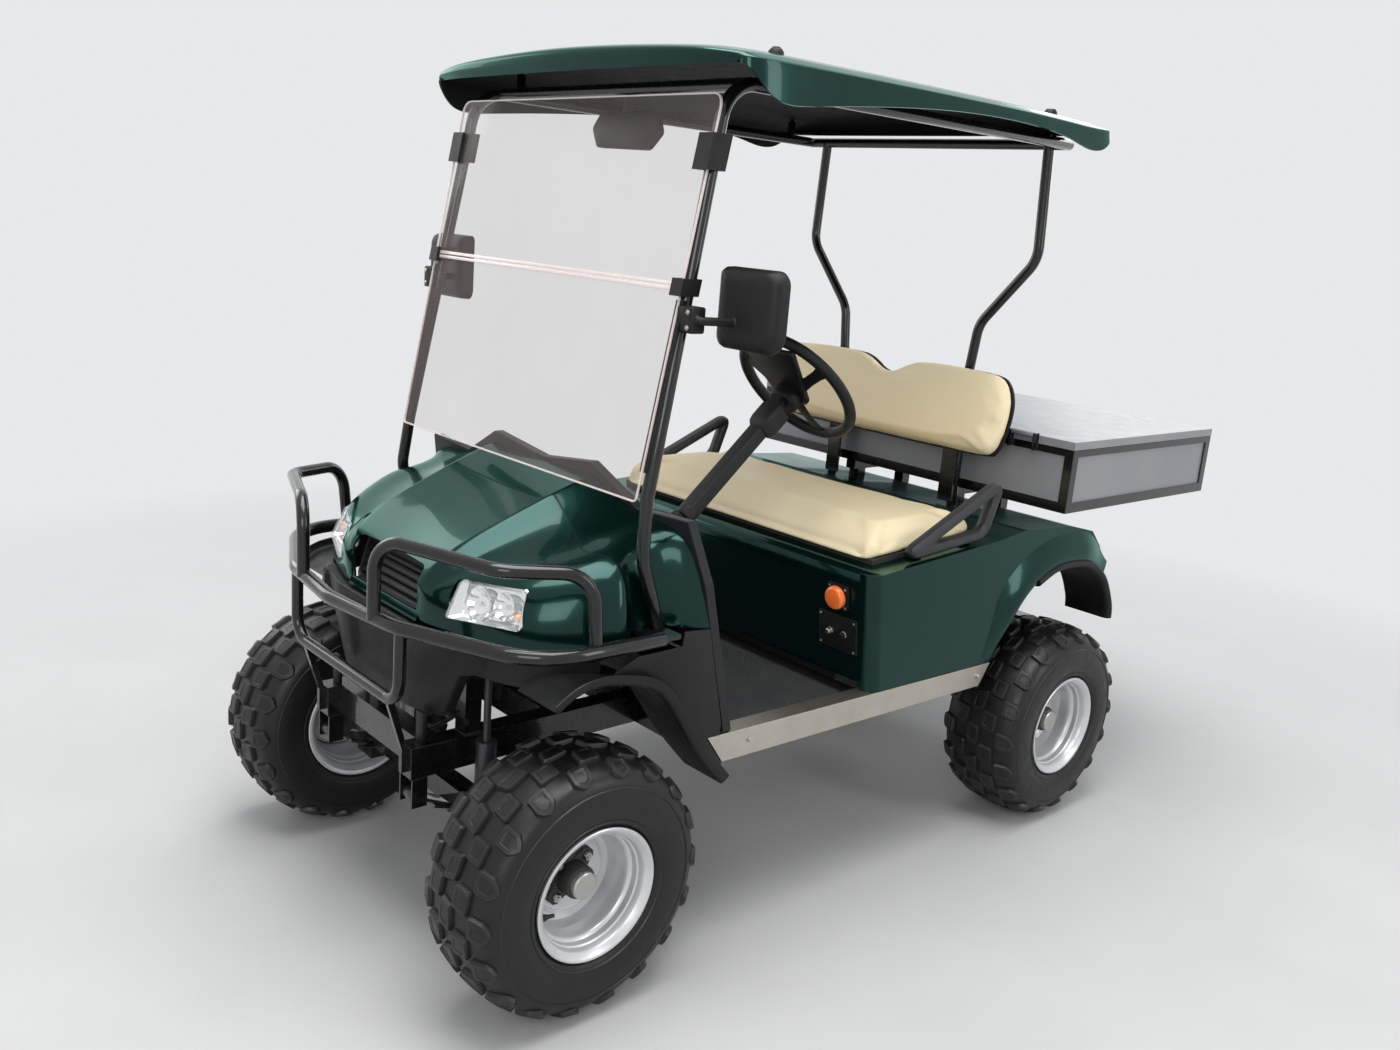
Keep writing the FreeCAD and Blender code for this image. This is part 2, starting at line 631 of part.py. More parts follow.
# Headlight on the driver's side: its corners as x, z, the y of its inner lower corner, and how far
# its flat front leans back for each millimetre outwards and upwards
LAMP_CORNERS = ((238.0, 851.0), (238.0, 774.0), (408.0, 786.0), (389.0, 859.0))
LAMP_FRONT_Y = -966.0
LAMP_LEAN = (0.265, 0.47)
LAMP_DEEP = 70.0
LAMP_HOLE_REAR_Y = -860.0
STRUT_X = BODY_HALF_WIDTH - 53.0
STRUT_FOOT = (STRUT_X, -612.0, GUARD_Z + 5.0)
STRUT_BEND = (STRUT_X, -668.0, 925.0)
STRUT_KNEE = (STRUT_X - 13.0, -656.0, 1050.0)
STRUT_HIGH = (STRUT_X - 36.0, -524.0, 1750.0)
# Room for a cutter that has to reach past the body
WIDE_CUT = BODY_HALF_WIDTH + 50.0


def rear_cut(offset, z0, z1):
    """Everything behind the sloping rear edge of the cowl, moved rearwards by offset."""
    top_y, top_z = COWL_CUT_TOP
    low_y, low_z = COWL_CUT_LOW
    slope = (top_y - low_y) / (top_z - low_z)
    at = lambda z: low_y + slope * (z - low_z) + offset
    return prism_x([(at(z0), z0), (at(z1), z1), (KICK_Y, z1), (KICK_Y, z0)], -WIDE_CUT, WIDE_CUT)


def lamp_block(side):
    """The wedge of one headlight."""
    corners = [(x * ACROSS, z) for x, z in LAMP_CORNERS]
    middle_x = sum(x for x, z in corners) / len(corners)
    middle_z = sum(z for x, z in corners) / len(corners)
    inner_x, low_z = corners[1]
    ring = []
    for x, z in corners:
        x += FIT if x < middle_x else -FIT
        z += FIT if z < middle_z else -FIT
        lean = LAMP_LEAN[0] * (x - inner_x) + LAMP_LEAN[1] * (z - low_z)
        ring.append((side * x, LAMP_FRONT_Y + lean, z))
    return prism(ring, (0, LAMP_DEEP, 0))


def lamp_opening(side):
    return prism_y([(side * x * ACROSS, z) for x, z in LAMP_CORNERS], FRONT_END_Y, LAMP_HOLE_REAR_Y)


def cowl():
    body = shell(COWL, COWL_COLUMNS, PANEL, SHELL_OPEN, False, True)
    body = body.cut(rear_cut(0, RAIL_LOW_Z, COWL_TOP_Z))
    body = body.cut(prism_y(grille_outline(0), FRONT_END_Y, GRILLE_HOLE_REAR_Y))
    for side in (1, -1):
        body = body.cut(lamp_opening(side))
    return body


def grille_outline(inset):
    low_x, top_x = GRILLE_LOW_X * ACROSS - inset, GRILLE_TOP_X * ACROSS - inset
    return [(-low_x, GRILLE_LOW_Z + inset), (low_x, GRILLE_LOW_Z + inset),
            (top_x, GRILLE_TOP_Z - inset), (-top_x, GRILLE_TOP_Z - inset)]


def grille():
    """A frame that fills the nose opening, with sloping bars, its face leaning back with the nose."""
    front, back = GRILLE_Y
    frame = prism_y(grille_outline(FIT), front, back).cut(prism_y(grille_outline(SHEET), front - 1, back + 1))
    parts = [frame]
    step = (GRILLE_TOP_Z - GRILLE_LOW_Z) / (GRILLE_BARS + 1)
    half = GRILLE_BAR / 2
    for k in range(1, GRILLE_BARS + 1):
        z = GRILLE_LOW_Z + step * k
        low, high = z - GRILLE_BAR_RISE, z + GRILLE_BAR_RISE
        bar = prism_x([(front, low - half), (front, low + half), (back, high + half), (back, high - half)],
                      -GRILLE_TOP_X * ACROSS, GRILLE_TOP_X * ACROSS)
        parts.append(bar.common(prism_y(grille_outline(FIT), front, back)))
    (low_y, low_z), (top_y, top_z) = GRILLE_LEAN
    lean = prism_x([(FRONT_END_Y, low_z), (FRONT_END_Y, top_z), (top_y, top_z), (low_y, low_z)],
                   -BODY_HALF_WIDTH, BODY_HALF_WIDTH)
    return fuse(parts).cut(lean)


def headlights():
    return Part.makeCompound([lamp_block(side) for side in (1, -1)])


# Front panel, flares and guard

PANEL_TOP_Z = 735.0
PANEL_LOW_Z = 548.0
PANEL_TOP_X = 330.0 * ACROSS
PANEL_LOW_X = 225.0 * ACROSS
PANEL_Y = -990.0
# The shelf behind the panel's top edge and the gusset at its end: y and x
PANEL_SHELF = (-948.0, 250.0 * ACROSS)
PANEL_GUSSET = ((300.0, PANEL_Y), (330.0, PANEL_Y), (340.0, -925.0), (250.0, -945.0))
PANEL_GUSSET_Z = (PANEL_TOP_Z - 60.0, PANEL_TOP_Z - 8.0)
PANEL_TAB = 15.0
FLARE_IN_X = BODY_HALF_WIDTH - 120.0
FLARE_OUT_X = BODY_HALF_WIDTH + 26.0
FLARE_LIP = 26.0
# The side panel's upper edge under the cowl: y, z
FLARE_TOP = ((-760.0, 712.0), (-640.0, 702.0), (-584.0, 700.0), (-500.0, 699.0))
FLARE_REAR = (-458.0, 545.0)
# The arch over a front tyre: y, z along its lower lip, from the front to the tip
FRONT_ARCH = ((-905, 668), (-850, 697), (-770, 698), (-655, 656), (-546, 514), (-447, 402))
ROCKER_FRONT = (-495.0, 519.0, -446.0, 452.0)
ROCKER_REAR = (536.0, 501.0, 495.0, 441.0)


def band_x(line, lift, x0, x1):
    """A strip over a line of (y, z) points, lifted by its thickness and turned with the line."""
    upper = []
    for k, (y, z) in enumerate(line):
        before = line[max(k - 1, 0)]
        after = line[min(k + 1, len(line) - 1)]
        run = hypot(after[0] - before[0], after[1] - before[1])
        upper.append((y - lift * (after[1] - before[1]) / run, z + lift * (after[0] - before[0]) / run))
    return prism_x(list(line) + upper[::-1], x0, x1)


def strip_outline(side):
    """The black strip just inside the cowl's lower edge."""
    first_y, last_y = STRIP_Y
    rows = [row for row in COWL if first_y < row[0] < last_y]
    outer = [(min(row[1], row[3]) * ACROSS - PANEL - 1, row[0]) for row in rows]
    inner = [(x - SHEET, y) for x, y in reversed(outer)]
    return [(side * x, y) for x, y in outer + inner]


STRIP_Y = (-960.0, -740.0)
STRIP_LOW_Z = 668.0


def front_lower_panel():
    front = PANEL_Y
    shelf_y, shelf_x = PANEL_SHELF
    gusset_low, gusset_top = PANEL_GUSSET_Z
    parts = [prism_y([(-PANEL_TOP_X, PANEL_TOP_Z), (PANEL_TOP_X, PANEL_TOP_Z),
                      (PANEL_LOW_X, PANEL_LOW_Z), (-PANEL_LOW_X, PANEL_LOW_Z)], front, front + SHEET)]
    parts.append(prism_z([(-PANEL_TOP_X, front), (PANEL_TOP_X, front), (shelf_x, shelf_y), (-shelf_x, shelf_y)],
                         PANEL_TOP_Z - SHEET, PANEL_TOP_Z))
    for side in (1, -1):
        parts.append(prism_z(strip_outline(side), STRIP_LOW_Z, gusset_top))
        parts.append(sided(RAIL_X - PANEL_TAB, RAIL_X + PANEL_TAB, front, front + 2 * SHEET,
                           RAIL_TOP_Z, PANEL_LOW_Z + 2 * SHEET, side))
        parts.append(prism_z([(side * x * ACROSS, y) for x, y in PANEL_GUSSET], gusset_low, gusset_top))
    panel = fuse(parts)
    for side in (1, -1):
        panel = panel.cut(front_flare(side))
    return panel


def front_flare(side):
    """The side panel behind the arch, the arch and its lip, and the tip that sweeps down behind."""
    front_y, front_z, low_front_y, low_front_z = ROCKER_FRONT
    top = [(y, z - FIT) for y, z in FLARE_TOP]
    rear = [FLARE_REAR, (FLARE_REAR[0] - 2, front_z + FIT), (front_y - 2, front_z + FIT),
            (low_front_y - 2, low_front_z)]
    arch = list(FRONT_ARCH[::-1])[:4]
    parts = [prism_x(top + rear + arch, BODY_HALF_WIDTH - SHEET, BODY_HALF_WIDTH),
             band_x(FRONT_ARCH, SHEET, FLARE_IN_X, FLARE_OUT_X),
             band_x(FRONT_ARCH, FLARE_LIP, FLARE_OUT_X - SHEET, FLARE_OUT_X)]
    body = fuse(parts)
    return body if side > 0 else mirror(body)


# The guard's hoop on the vehicle's left, from its end round to the middle: x and y
GUARD_HOOP = ((545.0, -640.0), (541.0, -935.0), (232.0, -1068.0))
GUARD_BEND = 160.0
# The loop over each lamp: x, y and height over the hoop, from its inner foot to its outer foot
GUARD_LOOP = ((165.0, -1082.0, 0.0), (165.0, -1082.0, 170.0), (455.0, -980.0, 164.0), (535.0, -815.0, 158.0),
              (532.0, -800.0, 0.0))
LOOP_BEND = 70.0
LOW_LOOP = (240.0, -1062.0, 603.0)
LOW_LOOP_BEND = 55.0
# The pad under each strut's foot: x and y
STRUT_PAD = ((481.0, 552.0), (-664.0, -597.0))
PAD_THICK = 10.0
# The brace from the low loop back to each rail's end: y, z
GUARD_BRACE = ((-1068.0, 600.0), (-1052.0, 600.0), (RAIL_FRONT_Y, 486.0), (RAIL_FRONT_Y, 432.0),
               (RAIL_FRONT_Y - 12.0, 432.0), (RAIL_FRONT_Y - 12.0, 484.0))
BRACE_HALF = 6.0


def brush_guard():
    z = GUARD_Z
    hoop = [(x * ACROSS, y, z) for x, y in GUARD_HOOP]
    hoop = hoop + [(0, FRONT_END_Y + GUARD_R, z)] + [(-x, y, z) for x, y, z in reversed(hoop)]
    parts = [tube(hoop, GUARD_R, GUARD_BEND)]
    (pad_x0, pad_x1), (pad_y0, pad_y1) = STRUT_PAD
    for side in (1, -1):
        loop = [(side * x * ACROSS, y, z + up) for x, y, up in GUARD_LOOP]
        parts.append(tube(loop, GUARD_R - 2, LOOP_BEND))
        parts.append(sided(pad_x0 * ACROSS, pad_x1 * ACROSS, pad_y0, pad_y1, STRUT_FOOT[2] - PAD_THICK,
                           STRUT_FOOT[2], side))
        parts.append(prism_x(GUARD_BRACE, side * RAIL_X - BRACE_HALF, side * RAIL_X + BRACE_HALF))
    x, y, low_z = LOW_LOOP
    x *= ACROSS
    parts.append(tube([(-x, y, z), (-x, y, low_z), (x, y, low_z), (x, y, z)], GUARD_R - 3, LOW_LOOP_BEND))
    return fuse(parts)


# Cabin floor, dash and controls

TOE_LOW = (-430.0, RAIL_TOP_Z)
TOE_HIGH = (-600.0, 690.0)
SHELF_Y = -500.0
FOOT_WALL = ((-462.0, ROCKER_FRONT[1] + 4.0), (-420.0, FLOOR_TOP_Z - 1.0))
FLOOR_UNDER_SEAT = 50.0
MAT_CLEAR = (12.0, 8.0)


def floor_pan():
    half = FLOOR_HALF_WIDTH
    rear = KICK_Y + FLOOR_UNDER_SEAT
    under = TOE_HIGH[1] - SHEET
    floor = [(rear, RAIL_TOP_Z), (rear, FLOOR_TOP_Z), (TOE_LOW[0] + 3, FLOOR_TOP_Z),
             (TOE_HIGH[0] + SHEET, under), (SHELF_Y, under), (SHELF_Y, TOE_HIGH[1]),
             (TOE_HIGH[0], TOE_HIGH[1]), (TOE_LOW[0], RAIL_TOP_Z)]
    parts = [prism_x(floor, -half, half)]
    wall = [(TOE_LOW[0], FLOOR_TOP_Z - 1), (TOE_HIGH[0] + SHEET, TOE_HIGH[1] - 2),
            (SHELF_Y, TOE_HIGH[1] - 2), *FOOT_WALL]
    for side in (1, -1):
        low, high = sorted((side * (half - SHEET), side * half))
        parts.append(prism_x(wall, low, high))
    return fuse(parts)


def floor_mat():
    half = FLOOR_HALF_WIDTH - SHEET - 1
    front, rear = TOE_LOW[0] + MAT_CLEAR[0], KICK_Y - MAT_CLEAR[1]
    return box(-half, half, front, rear, FLOOR_TOP_Z, FLOOR_TOP_Z + MAT_THICK)


SILL_SHEET = 3.0


def rocker_panels():
    """Aluminium channels along the sills, open inwards."""
    front_y, front_z, low_front_y, low_front_z = ROCKER_FRONT
    rear_y, rear_z, low_rear_y, low_rear_z = ROCKER_REAR
    outline = [(front_y, front_z), (rear_y, rear_z), (low_rear_y, low_rear_z), (low_front_y, low_front_z)]
    past = SILL_WIDE / 2
    inner = [(front_y - past, front_z - SILL_SHEET), (rear_y + past, rear_z - SILL_SHEET),
             (low_rear_y + past, low_rear_z + SILL_SHEET), (low_front_y - past, low_front_z + SILL_SHEET)]
    sill = prism_x(outline, FLOOR_HALF_WIDTH + FIT, BODY_HALF_WIDTH)
    hollow = prism_x(inner, FLOOR_HALF_WIDTH + SILL_SHEET + FIT, BODY_HALF_WIDTH - SILL_SHEET)
    sill = sill.cut(hollow)
    return Part.makeCompound([sill, mirror(sill)])


DASH_THICK = 24.0
DASH_DROP = 12.0
DASH_CENTRE_DROP = 22.0
DASH_BAND_Y = (-700.0, -300.0)


def dash_panel():
    """The panel behind the cowl, and its legs down to the sills."""
    row = COWL[-1]
    edge = [(x - 1, z - DASH_DROP) for x, z in half_outline(row, COWL_COLUMNS)]
    outline = [(edge[0][0], FLOOR_TOP_Z)] + edge[1:]
    ring = outline + [(0, row[-1] - DASH_CENTRE_DROP)] + [(-x, z) for x, z in reversed(outline)]
    front, rear = DASH_BAND_Y
    band = rear_cut(FIT, FLOOR_TOP_Z, COWL_TOP_Z).cut(rear_cut(DASH_THICK, FLOOR_TOP_Z, COWL_TOP_Z))
    panel = band.common(prism_y(ring, front, rear))
    cabin = FLOOR_HALF_WIDTH + FIT
    panel = panel.cut(box(-cabin, cabin, front, rear, RAIL_LOW_Z, TOE_HIGH[1] + FIT))
    panel = panel.cut(box(-WIDE_CUT, WIDE_CUT, front, rear, RAIL_LOW_Z, ROCKER_FRONT[1] + FIT))
    room = COLUMN_HALF + 2
    panel = panel.cut(column_frame(box(-room, room, -room, room, -COLUMN_LONG - 2, 0)))
    return panel.cut(lower_column(LOWER_COLUMN_R + 2))


# Steering column and wheel

WHEEL_CENTRE = (250.0, -10.0, 1222.0)
WHEEL_RADIUS = 172.0
WHEEL_RIM_R = 14.0
WHEEL_SPOKES = 3
COLUMN_TILT = 41.5
COLUMN_HALF = 24.0
COLUMN_TOP = 95.0
COLUMN_LONG = 430.0
SHAFT_R = 12.0
LOWER_COLUMN_R = 15.0
HUB_PAD_R = 38.0
HUB_PAD_Z = (-60.0, -12.0)
SPOKE_HALF = 18.0
SPOKE_THICK = 8.0
SPOKE_LOW_Z = -22.0
SPOKE_FOOT = 30.0
SPOKE_TIP_Z = -4.0
SHAFT_IN = 70.0
# The shroud round the top of the jacket: how much wider it is to each side, below and above, and its
# length below and above the jacket's top
SHROUD_OUT = (14.0, 8.0, 10.0)
SHROUD_LONG = (62.0, 12.0)
# Where the lower tube meets the steering box, from the box's corner
BOX_PORT = (30.0, 25.0, 20.0)


def column_frame(shape):
    """Turn a shape made about Z, with the driver at +Z, into the column's direction."""
    shape.rotate(V(0, 0, 0), V(1, 0, 0), -(90 - COLUMN_TILT))
    shape.translate(V(*WHEEL_CENTRE))
    return shape


def steering_wheel():
    rim = Part.makeTorus(WHEEL_RADIUS - WHEEL_RIM_R, WHEEL_RIM_R)
    parts = [rim, rod((0, 0, HUB_PAD_Z[0]), (0, 0, HUB_PAD_Z[1]), HUB_PAD_R)]
    low, top, half = SPOKE_LOW_Z, SPOKE_LOW_Z + SPOKE_THICK, SPOKE_HALF
    tip = WHEEL_RADIUS - 1.5 * WHEEL_RIM_R
    for k in range(WHEEL_SPOKES):
        lift = prism([(SPOKE_FOOT, -half, low), (SPOKE_FOOT, -half, top), (tip, -half, SPOKE_TIP_Z + SPOKE_THICK),
                      (tip, -half, SPOKE_TIP_Z)], (0, 2 * half, 0))
        arm = fuse([box(SPOKE_THICK, SPOKE_FOOT + SPOKE_THICK, -half, half, low, top), lift])
        arm.rotate(V(0, 0, 0), V(0, 0, 1), 90 + 360 * k / WHEEL_SPOKES)
        parts.append(arm)
    parts.append(rod((0, 0, -COLUMN_TOP - SHAFT_IN), (0, 0, HUB_PAD_Z[0] + 10), SHAFT_R))
    return column_frame(fuse(parts))


def lower_column(radius):
    """The tube from the column's foot down to the steering box."""
    foot = column_frame(Part.Vertex(0, 0, -COLUMN_LONG + 20)).Point
    in_x, in_y, in_z = BOX_PORT
    box_top = (PITMAN_X + in_x, FRONT_AXLE_Y + STEER_BOX[1] / 2 - in_y, STEER_BOX_Z + STEER_BOX[2] - in_z)
    return rod(tuple(foot), box_top, radius)


def steering_column():
    """The square jacket, its upper shroud and the tube on down to the steering box."""
    half = COLUMN_HALF
    to_side, below, above = SHROUD_OUT
    down, up = SHROUD_LONG
    jacket = box(-half, half, -half, half, -COLUMN_LONG, -COLUMN_TOP)
    shroud = box(-half - to_side, half + to_side, -half - below, half + above,
                 -COLUMN_TOP - down, -COLUMN_TOP + up)
    bore = rod((0, 0, -COLUMN_TOP - SHAFT_IN - 6), (0, 0, 0), SHAFT_R + FIT)
    body = column_frame(fuse([jacket, shroud]).cut(bore))
    lower = lower_column(LOWER_COLUMN_R).cut(steering_box())
    lower = lower.cut(floor_pan())
    return fuse([body, lower])


# Brake and accelerator: place across, half width, half height
PEDALS = ((150.0, 45.0, 35.0), (330.0, 28.0, 75.0))
PEDAL_UP = 130.0
PEDAL_OUT = 50.0
PEDAL_THICK = 8.0
PEDAL_ARM_R = 9.0


def pedals():
    """Brake and accelerator plates on short arms from the toe board."""
    along = V(0, TOE_HIGH[0] - TOE_LOW[0], TOE_HIGH[1] - TOE_LOW[1]).normalize()
    away = V(0, along.z, -along.y)
    pads = []
    for x, half_width, half_high in PEDALS:
        foot = V(x, TOE_LOW[0], TOE_LOW[1]) + along * PEDAL_UP
        ring = [foot - along * half_high, foot + along * half_high]
        ring = ([p + away * PEDAL_OUT for p in ring]
                + [p + away * (PEDAL_OUT - PEDAL_THICK) for p in reversed(ring)])
        pad = prism([(x - half_width, p.y, p.z) for p in ring], (2 * half_width, 0, 0))
        arm = Part.makeCylinder(PEDAL_ARM_R, PEDAL_OUT - PEDAL_THICK / 2, foot, away)
        pads.append(fuse([pad, arm.cut(floor_pan())]).Solids[0])
    return Part.makeCompound(pads)


# Rear body

# Side of the rear body: y, z from the front foot over the top to the tail
REAR_SIDE = ((38, 510), (-4, 811), (95, 818), (500, 846), (621, 862), (843, 850),
             (963, 823), (1016, 772), (1046, 700), (1046, 640))
REAR_ARCH = ((1060, 640), (1040, 676), (945, 738), (855, 750), (762, 745), (680, 716),
             (613, 664), (572, 590), (536, 512), (530, 400), (1060, 400))
BODY_CORNER = 38.0
BATTERY_BAY = (70.0, 478.0, 430.0)
HINGE_X = 230.0
HINGE_PIN_R = 3.5
HINGE_Z = 858.0
ARCH_INNER_X = BODY_HALF_WIDTH - 165.0
# Openings in the deck: from z to z, and half the room round each rear post
DECK_CUT = (700.0, 900.0)
POST_ROOM = 24.0
TAIL_CUT = ((1030.0, 1060.0), 400.0)
# The deck's hinge ears: half their spread on the pin, thickness, half their length and height over the pin
EAR_SPREAD = 40.0
EAR_THICK = 6.0
EAR_HALF = 9.0
EAR_OVER = 7.0


def rear_body():
    half = BODY_HALF_WIDTH
    outer = prism_x(REAR_SIDE + ((REAR_SIDE[-1][0], ROCKER_REAR[1] + FIT),), -half, half)
    corners = [e for e in outer.Edges
               if all(abs(abs(v.X) - half) < 1 and v.Y < 60 for v in e.Vertexes) and e.Length > 200]
    outer = outer.makeFillet(BODY_CORNER, corners)
    wall = PANEL
    top = [(y, z - wall) for y, z in REAR_SIDE[2:7]]
    (foot_y, foot_z), (edge_y, edge_z) = REAR_SIDE[:2]
    (turn_y, turn_z), (tail_y, tail_z) = REAR_SIDE[7:9]
    inside = [(foot_y + wall + 28, foot_z - 200), (edge_y + wall, edge_z - wall)] + top
    inside += [(turn_y - wall, turn_z - wall), (tail_y - wall, tail_z), (tail_y - wall, tail_z - 400)]
    inner = prism_x(inside, -half + wall, half - wall)
    corners = [e for e in inner.Edges
               if all(abs(abs(v.X) - half + wall) < 1 and v.Y < 60 for v in e.Vertexes) and e.Length > 200]
    inner = inner.makeFillet(BODY_CORNER - wall, corners)
    body = outer.cut(inner)
    front, back, bay = BATTERY_BAY
    under, over = DECK_CUT
    body = body.cut(box(-bay, bay, front, back, under, over))
    for side in (1, -1):
        low, high = sorted((side * ARCH_INNER_X, side * (half + 10)))
        body = body.cut(prism_x(REAR_ARCH, low, high))
        for y in POST_Y:
            body = body.cut(sided(RAIL_X - POST_ROOM, RAIL_X + POST_ROOM, y - POST_ROOM, y + POST_ROOM,
                                  under, over, side))
        body = body.cut(rod((side * REAR_STRUT_FOOT_X, REAR_STRUT_Y, under),
                            (side * REAR_STRUT_FOOT_X, REAR_STRUT_Y, over), STRUT_R + 2))
    (tail_front, tail_rear), tail_half = TAIL_CUT
    body = body.cut(box(-tail_half, tail_half, tail_front, tail_rear, RAIL_LOW_Z, REAR_SIDE[-1][1]))
    ears = []
    half_ear = EAR_THICK / 2
    pin_half = EAR_SPREAD + 2
    for side in (1, -1):
        for x in (HINGE_X - EAR_SPREAD, HINGE_X + EAR_SPREAD):
            ears.append(sided(x - half_ear, x + half_ear, SEAT_HINGE_Y - EAR_HALF, SEAT_HINGE_Y + EAR_HALF,
                              deck(SEAT_HINGE_Y) - 2, HINGE_Z + EAR_OVER, side))
        ears.append(rod((side * (HINGE_X - pin_half), SEAT_HINGE_Y, HINGE_Z),
                        (side * (HINGE_X + pin_half), SEAT_HINGE_Y, HINGE_Z), HINGE_PIN_R))
    return fuse([body] + ears)


def deck(y):
    """Height of the rear body's top under the seat."""
    (y0, z0), (y1, z1) = REAR_SIDE[2:4]
    return z0 + (y - y0) * (z1 - z0) / (y1 - y0)


# The rear flare's lower lip, from the front of the arch to the tail: y, z
REAR_LIP = ((682, 700), (762, 729), (855, 732), (940, 716), (1012, 668), (1062, 590), (1072, 548))
REAR_FLARE_X = (ARCH_INNER_X + 50, BODY_HALF_WIDTH + 34)


def rear_flare(side):
    inner, outer = REAR_FLARE_X
    lip = band_x(REAR_LIP, FLARE_LIP, outer - SHEET, outer)
    arch = band_x(REAR_LIP, SHEET, inner, outer)
    joint = band_x(REAR_LIP[2:-1], FLARE_LIP, BODY_HALF_WIDTH + FIT, outer)
    body = fuse([arch, lip, joint])
    body = body.cut(rear_body_block())
    return body if side > 0 else mirror(body)


def rear_body_block():
    low = (REAR_SIDE[-1][0], ROCKER_REAR[1])
    solid = prism_x(REAR_SIDE + (low,), -BODY_HALF_WIDTH - FIT, BODY_HALF_WIDTH + FIT)
    return solid.cut(prism_x(REAR_ARCH, -WIDE_CUT, WIDE_CUT))


BATTERY_CLEAR = (30.0, 8.0, 6.0, 62.0)


def battery_pack():
    front, back, half = BATTERY_BAY
    to_side, ahead, behind, above = BATTERY_CLEAR
    return box(-half + to_side, half - to_side, front + ahead, back - behind,
               RAIL_TOP_Z + FIT, SEAT_DECK_Z - above)


CONTROLS_X = BODY_HALF_WIDTH - 122.0
# Plates on the seat base's front: z from, z to and half width. The knob's is first
CONTROL_PLATES = ((688.0, 748.0, 30.0), (588.0, 676.0, 46.0))
PLATE_THICK = 8.0
KNOB = (718.0, 24.0, 26.0)
SWITCH = (640.0, 9.0, 20.0)
SWITCH_OUT = 20.0


def kick_panel_controls():
    """A round knob on a square plate, and a small switch plate under it, on the seat base's front."""
    x, thick = CONTROLS_X, PLATE_THICK
    low, high = REAR_SIDE[:2]
    lean = (high[0] - low[0]) / (high[1] - low[1])
    at = lambda z: low[0] + lean * (z - low[1]) - FIT
    plates = []
    for z0, z1, wide in CONTROL_PLATES:
        ring = [(at(z0), z0), (at(z1), z1), (at(z1) - thick, z1), (at(z0) - thick, z0)]
        plates.append(prism_x(ring, x - wide, x + wide))
    z, knob_r, out = KNOB
    knob = rod((x, at(z) + 1 - thick, z), (x, at(z) - out, z), knob_r)
    z, switch_r, out = SWITCH
    switches = [rod((x + dx, at(z) + 1 - thick, z), (x + dx, at(z) - out, z), switch_r)
                for dx in (-SWITCH_OUT, SWITCH_OUT)]
    return Part.makeCompound([fuse([plates[0], knob]), fuse([plates[1]] + switches)])


# Seat

CUSHION_LIFT = SEAT_BOARD + 2 * FIT
HINGE_BARREL_R = 8.0
ARM_IN_X = SEAT_HALF_WIDTH + 8.0
ARM_THICK_X = 34.0
# The side loop beside the seat: y, height over the deck
ARM_LOOP = ((150, 8), (440, 8), (462, 14), (512, 135), (500, 160), (470, 163), (140, 34), (136, 18))
ARM_HOLE = ((175, 40), (440, 40), (476, 122), (466, 128))


def seat_board():
    """The board under the cushion, with its hinge straps and the tabs that carry the side loops."""
    half = SEAT_HALF_WIDTH - 15
    front = SEAT_FRONT_Y + 20
    rear = SEAT_HINGE_Y - 24
    ring = [(front, deck(front) + FIT), (rear, deck(rear) + FIT),
            (rear, deck(rear) + FIT + SEAT_BOARD), (front, deck(front) + FIT + SEAT_BOARD)]
    parts = [prism_x(ring, -half, half)]
    low = deck(rear) + FIT
    for side in (1, -1):
        x0, x1 = HINGE_X - 36, HINGE_X + 36
        parts.append(sided(x0, x1, rear - 1, SEAT_HINGE_Y - 5, low + 3, low + SEAT_BOARD, side))
        parts.append(rod((side * x0, SEAT_HINGE_Y, HINGE_Z), (side * x1, SEAT_HINGE_Y, HINGE_Z),
                         HINGE_BARREL_R))
        for y in (190, 390):
            z = deck(y) + 3
            parts.append(sided(half - 20, ARM_IN_X + 6, y, y + 30, z + 2, z + 8, side))
    board = fuse(parts)
    for side in (1, -1):
        board = board.cut(rod((side * (HINGE_X - 50), SEAT_HINGE_Y, HINGE_Z),
                              (side * (HINGE_X + 50), SEAT_HINGE_Y, HINGE_Z), HINGE_PIN_R + FIT))
    return board.cut(hip_restraints())


def seat_cushion():
    """A rounded block; its front edge rolls down over the board."""
    front = SEAT_FRONT_Y
    rear = SEAT_HINGE_Y - 4
    lift = CUSHION_LIFT
    top = lift + SEAT_THICK
    ring = [(front + 22, lift), (rear, lift), (rear, top - 22), (rear - 22, top), (front + 60, top + 4),
            (front + 16, top - 10), (front, top - 38), (front, lift + 14)]
    half = SEAT_HALF_WIDTH
    block = prism_x(over_deck(ring), -half, half)
    hinge_room = box(-half, half, rear - 16, rear + 1, 700, HINGE_Z + HINGE_BARREL_R + 6)
    return block.cut(hinge_room)


def over_deck(points):
    """Points whose second value is a height over the rear body's deck."""
    return [(y, deck(y) + h) for y, h in points]


def hip_restraints():
    loops = []
    for side in (1, -1):
        x0, x1 = sorted((side * ARM_IN_X, side * (ARM_IN_X + ARM_THICK_X)))
        hole = prism_x(over_deck(ARM_HOLE), x0 - 1, x1 + 1)
        loops.append(prism_x(over_deck(ARM_LOOP), x0, x1).cut(hole))
    return Part.makeCompound(loops)


BACK_LEAN = 9.0
BACK_FOOT_Y = 614.0


def seat_back():
    """A two-hump back cushion on its shell, leaning back."""
    half = BACK_HALF_WIDTH
    high = (BACK_TOP_Z - BACK_LOW_Z) / cos(radians(BACK_LEAN))
    notch = 20.0
    side = [(half - 40, 0), (half, 40), (half - 6, high - 60), (half - 50, high), (110, high), (50, high - notch)]
    ring = side + [(-x, z) for x, z in reversed(side)]
    block = prism_y(ring, -BACK_THICK / 2, BACK_THICK / 2)
    block.rotate(V(0, 0, 0), V(1, 0, 0), -BACK_LEAN)
    block.translate(V(0, BACK_FOOT_Y, BACK_LOW_Z))
    return block


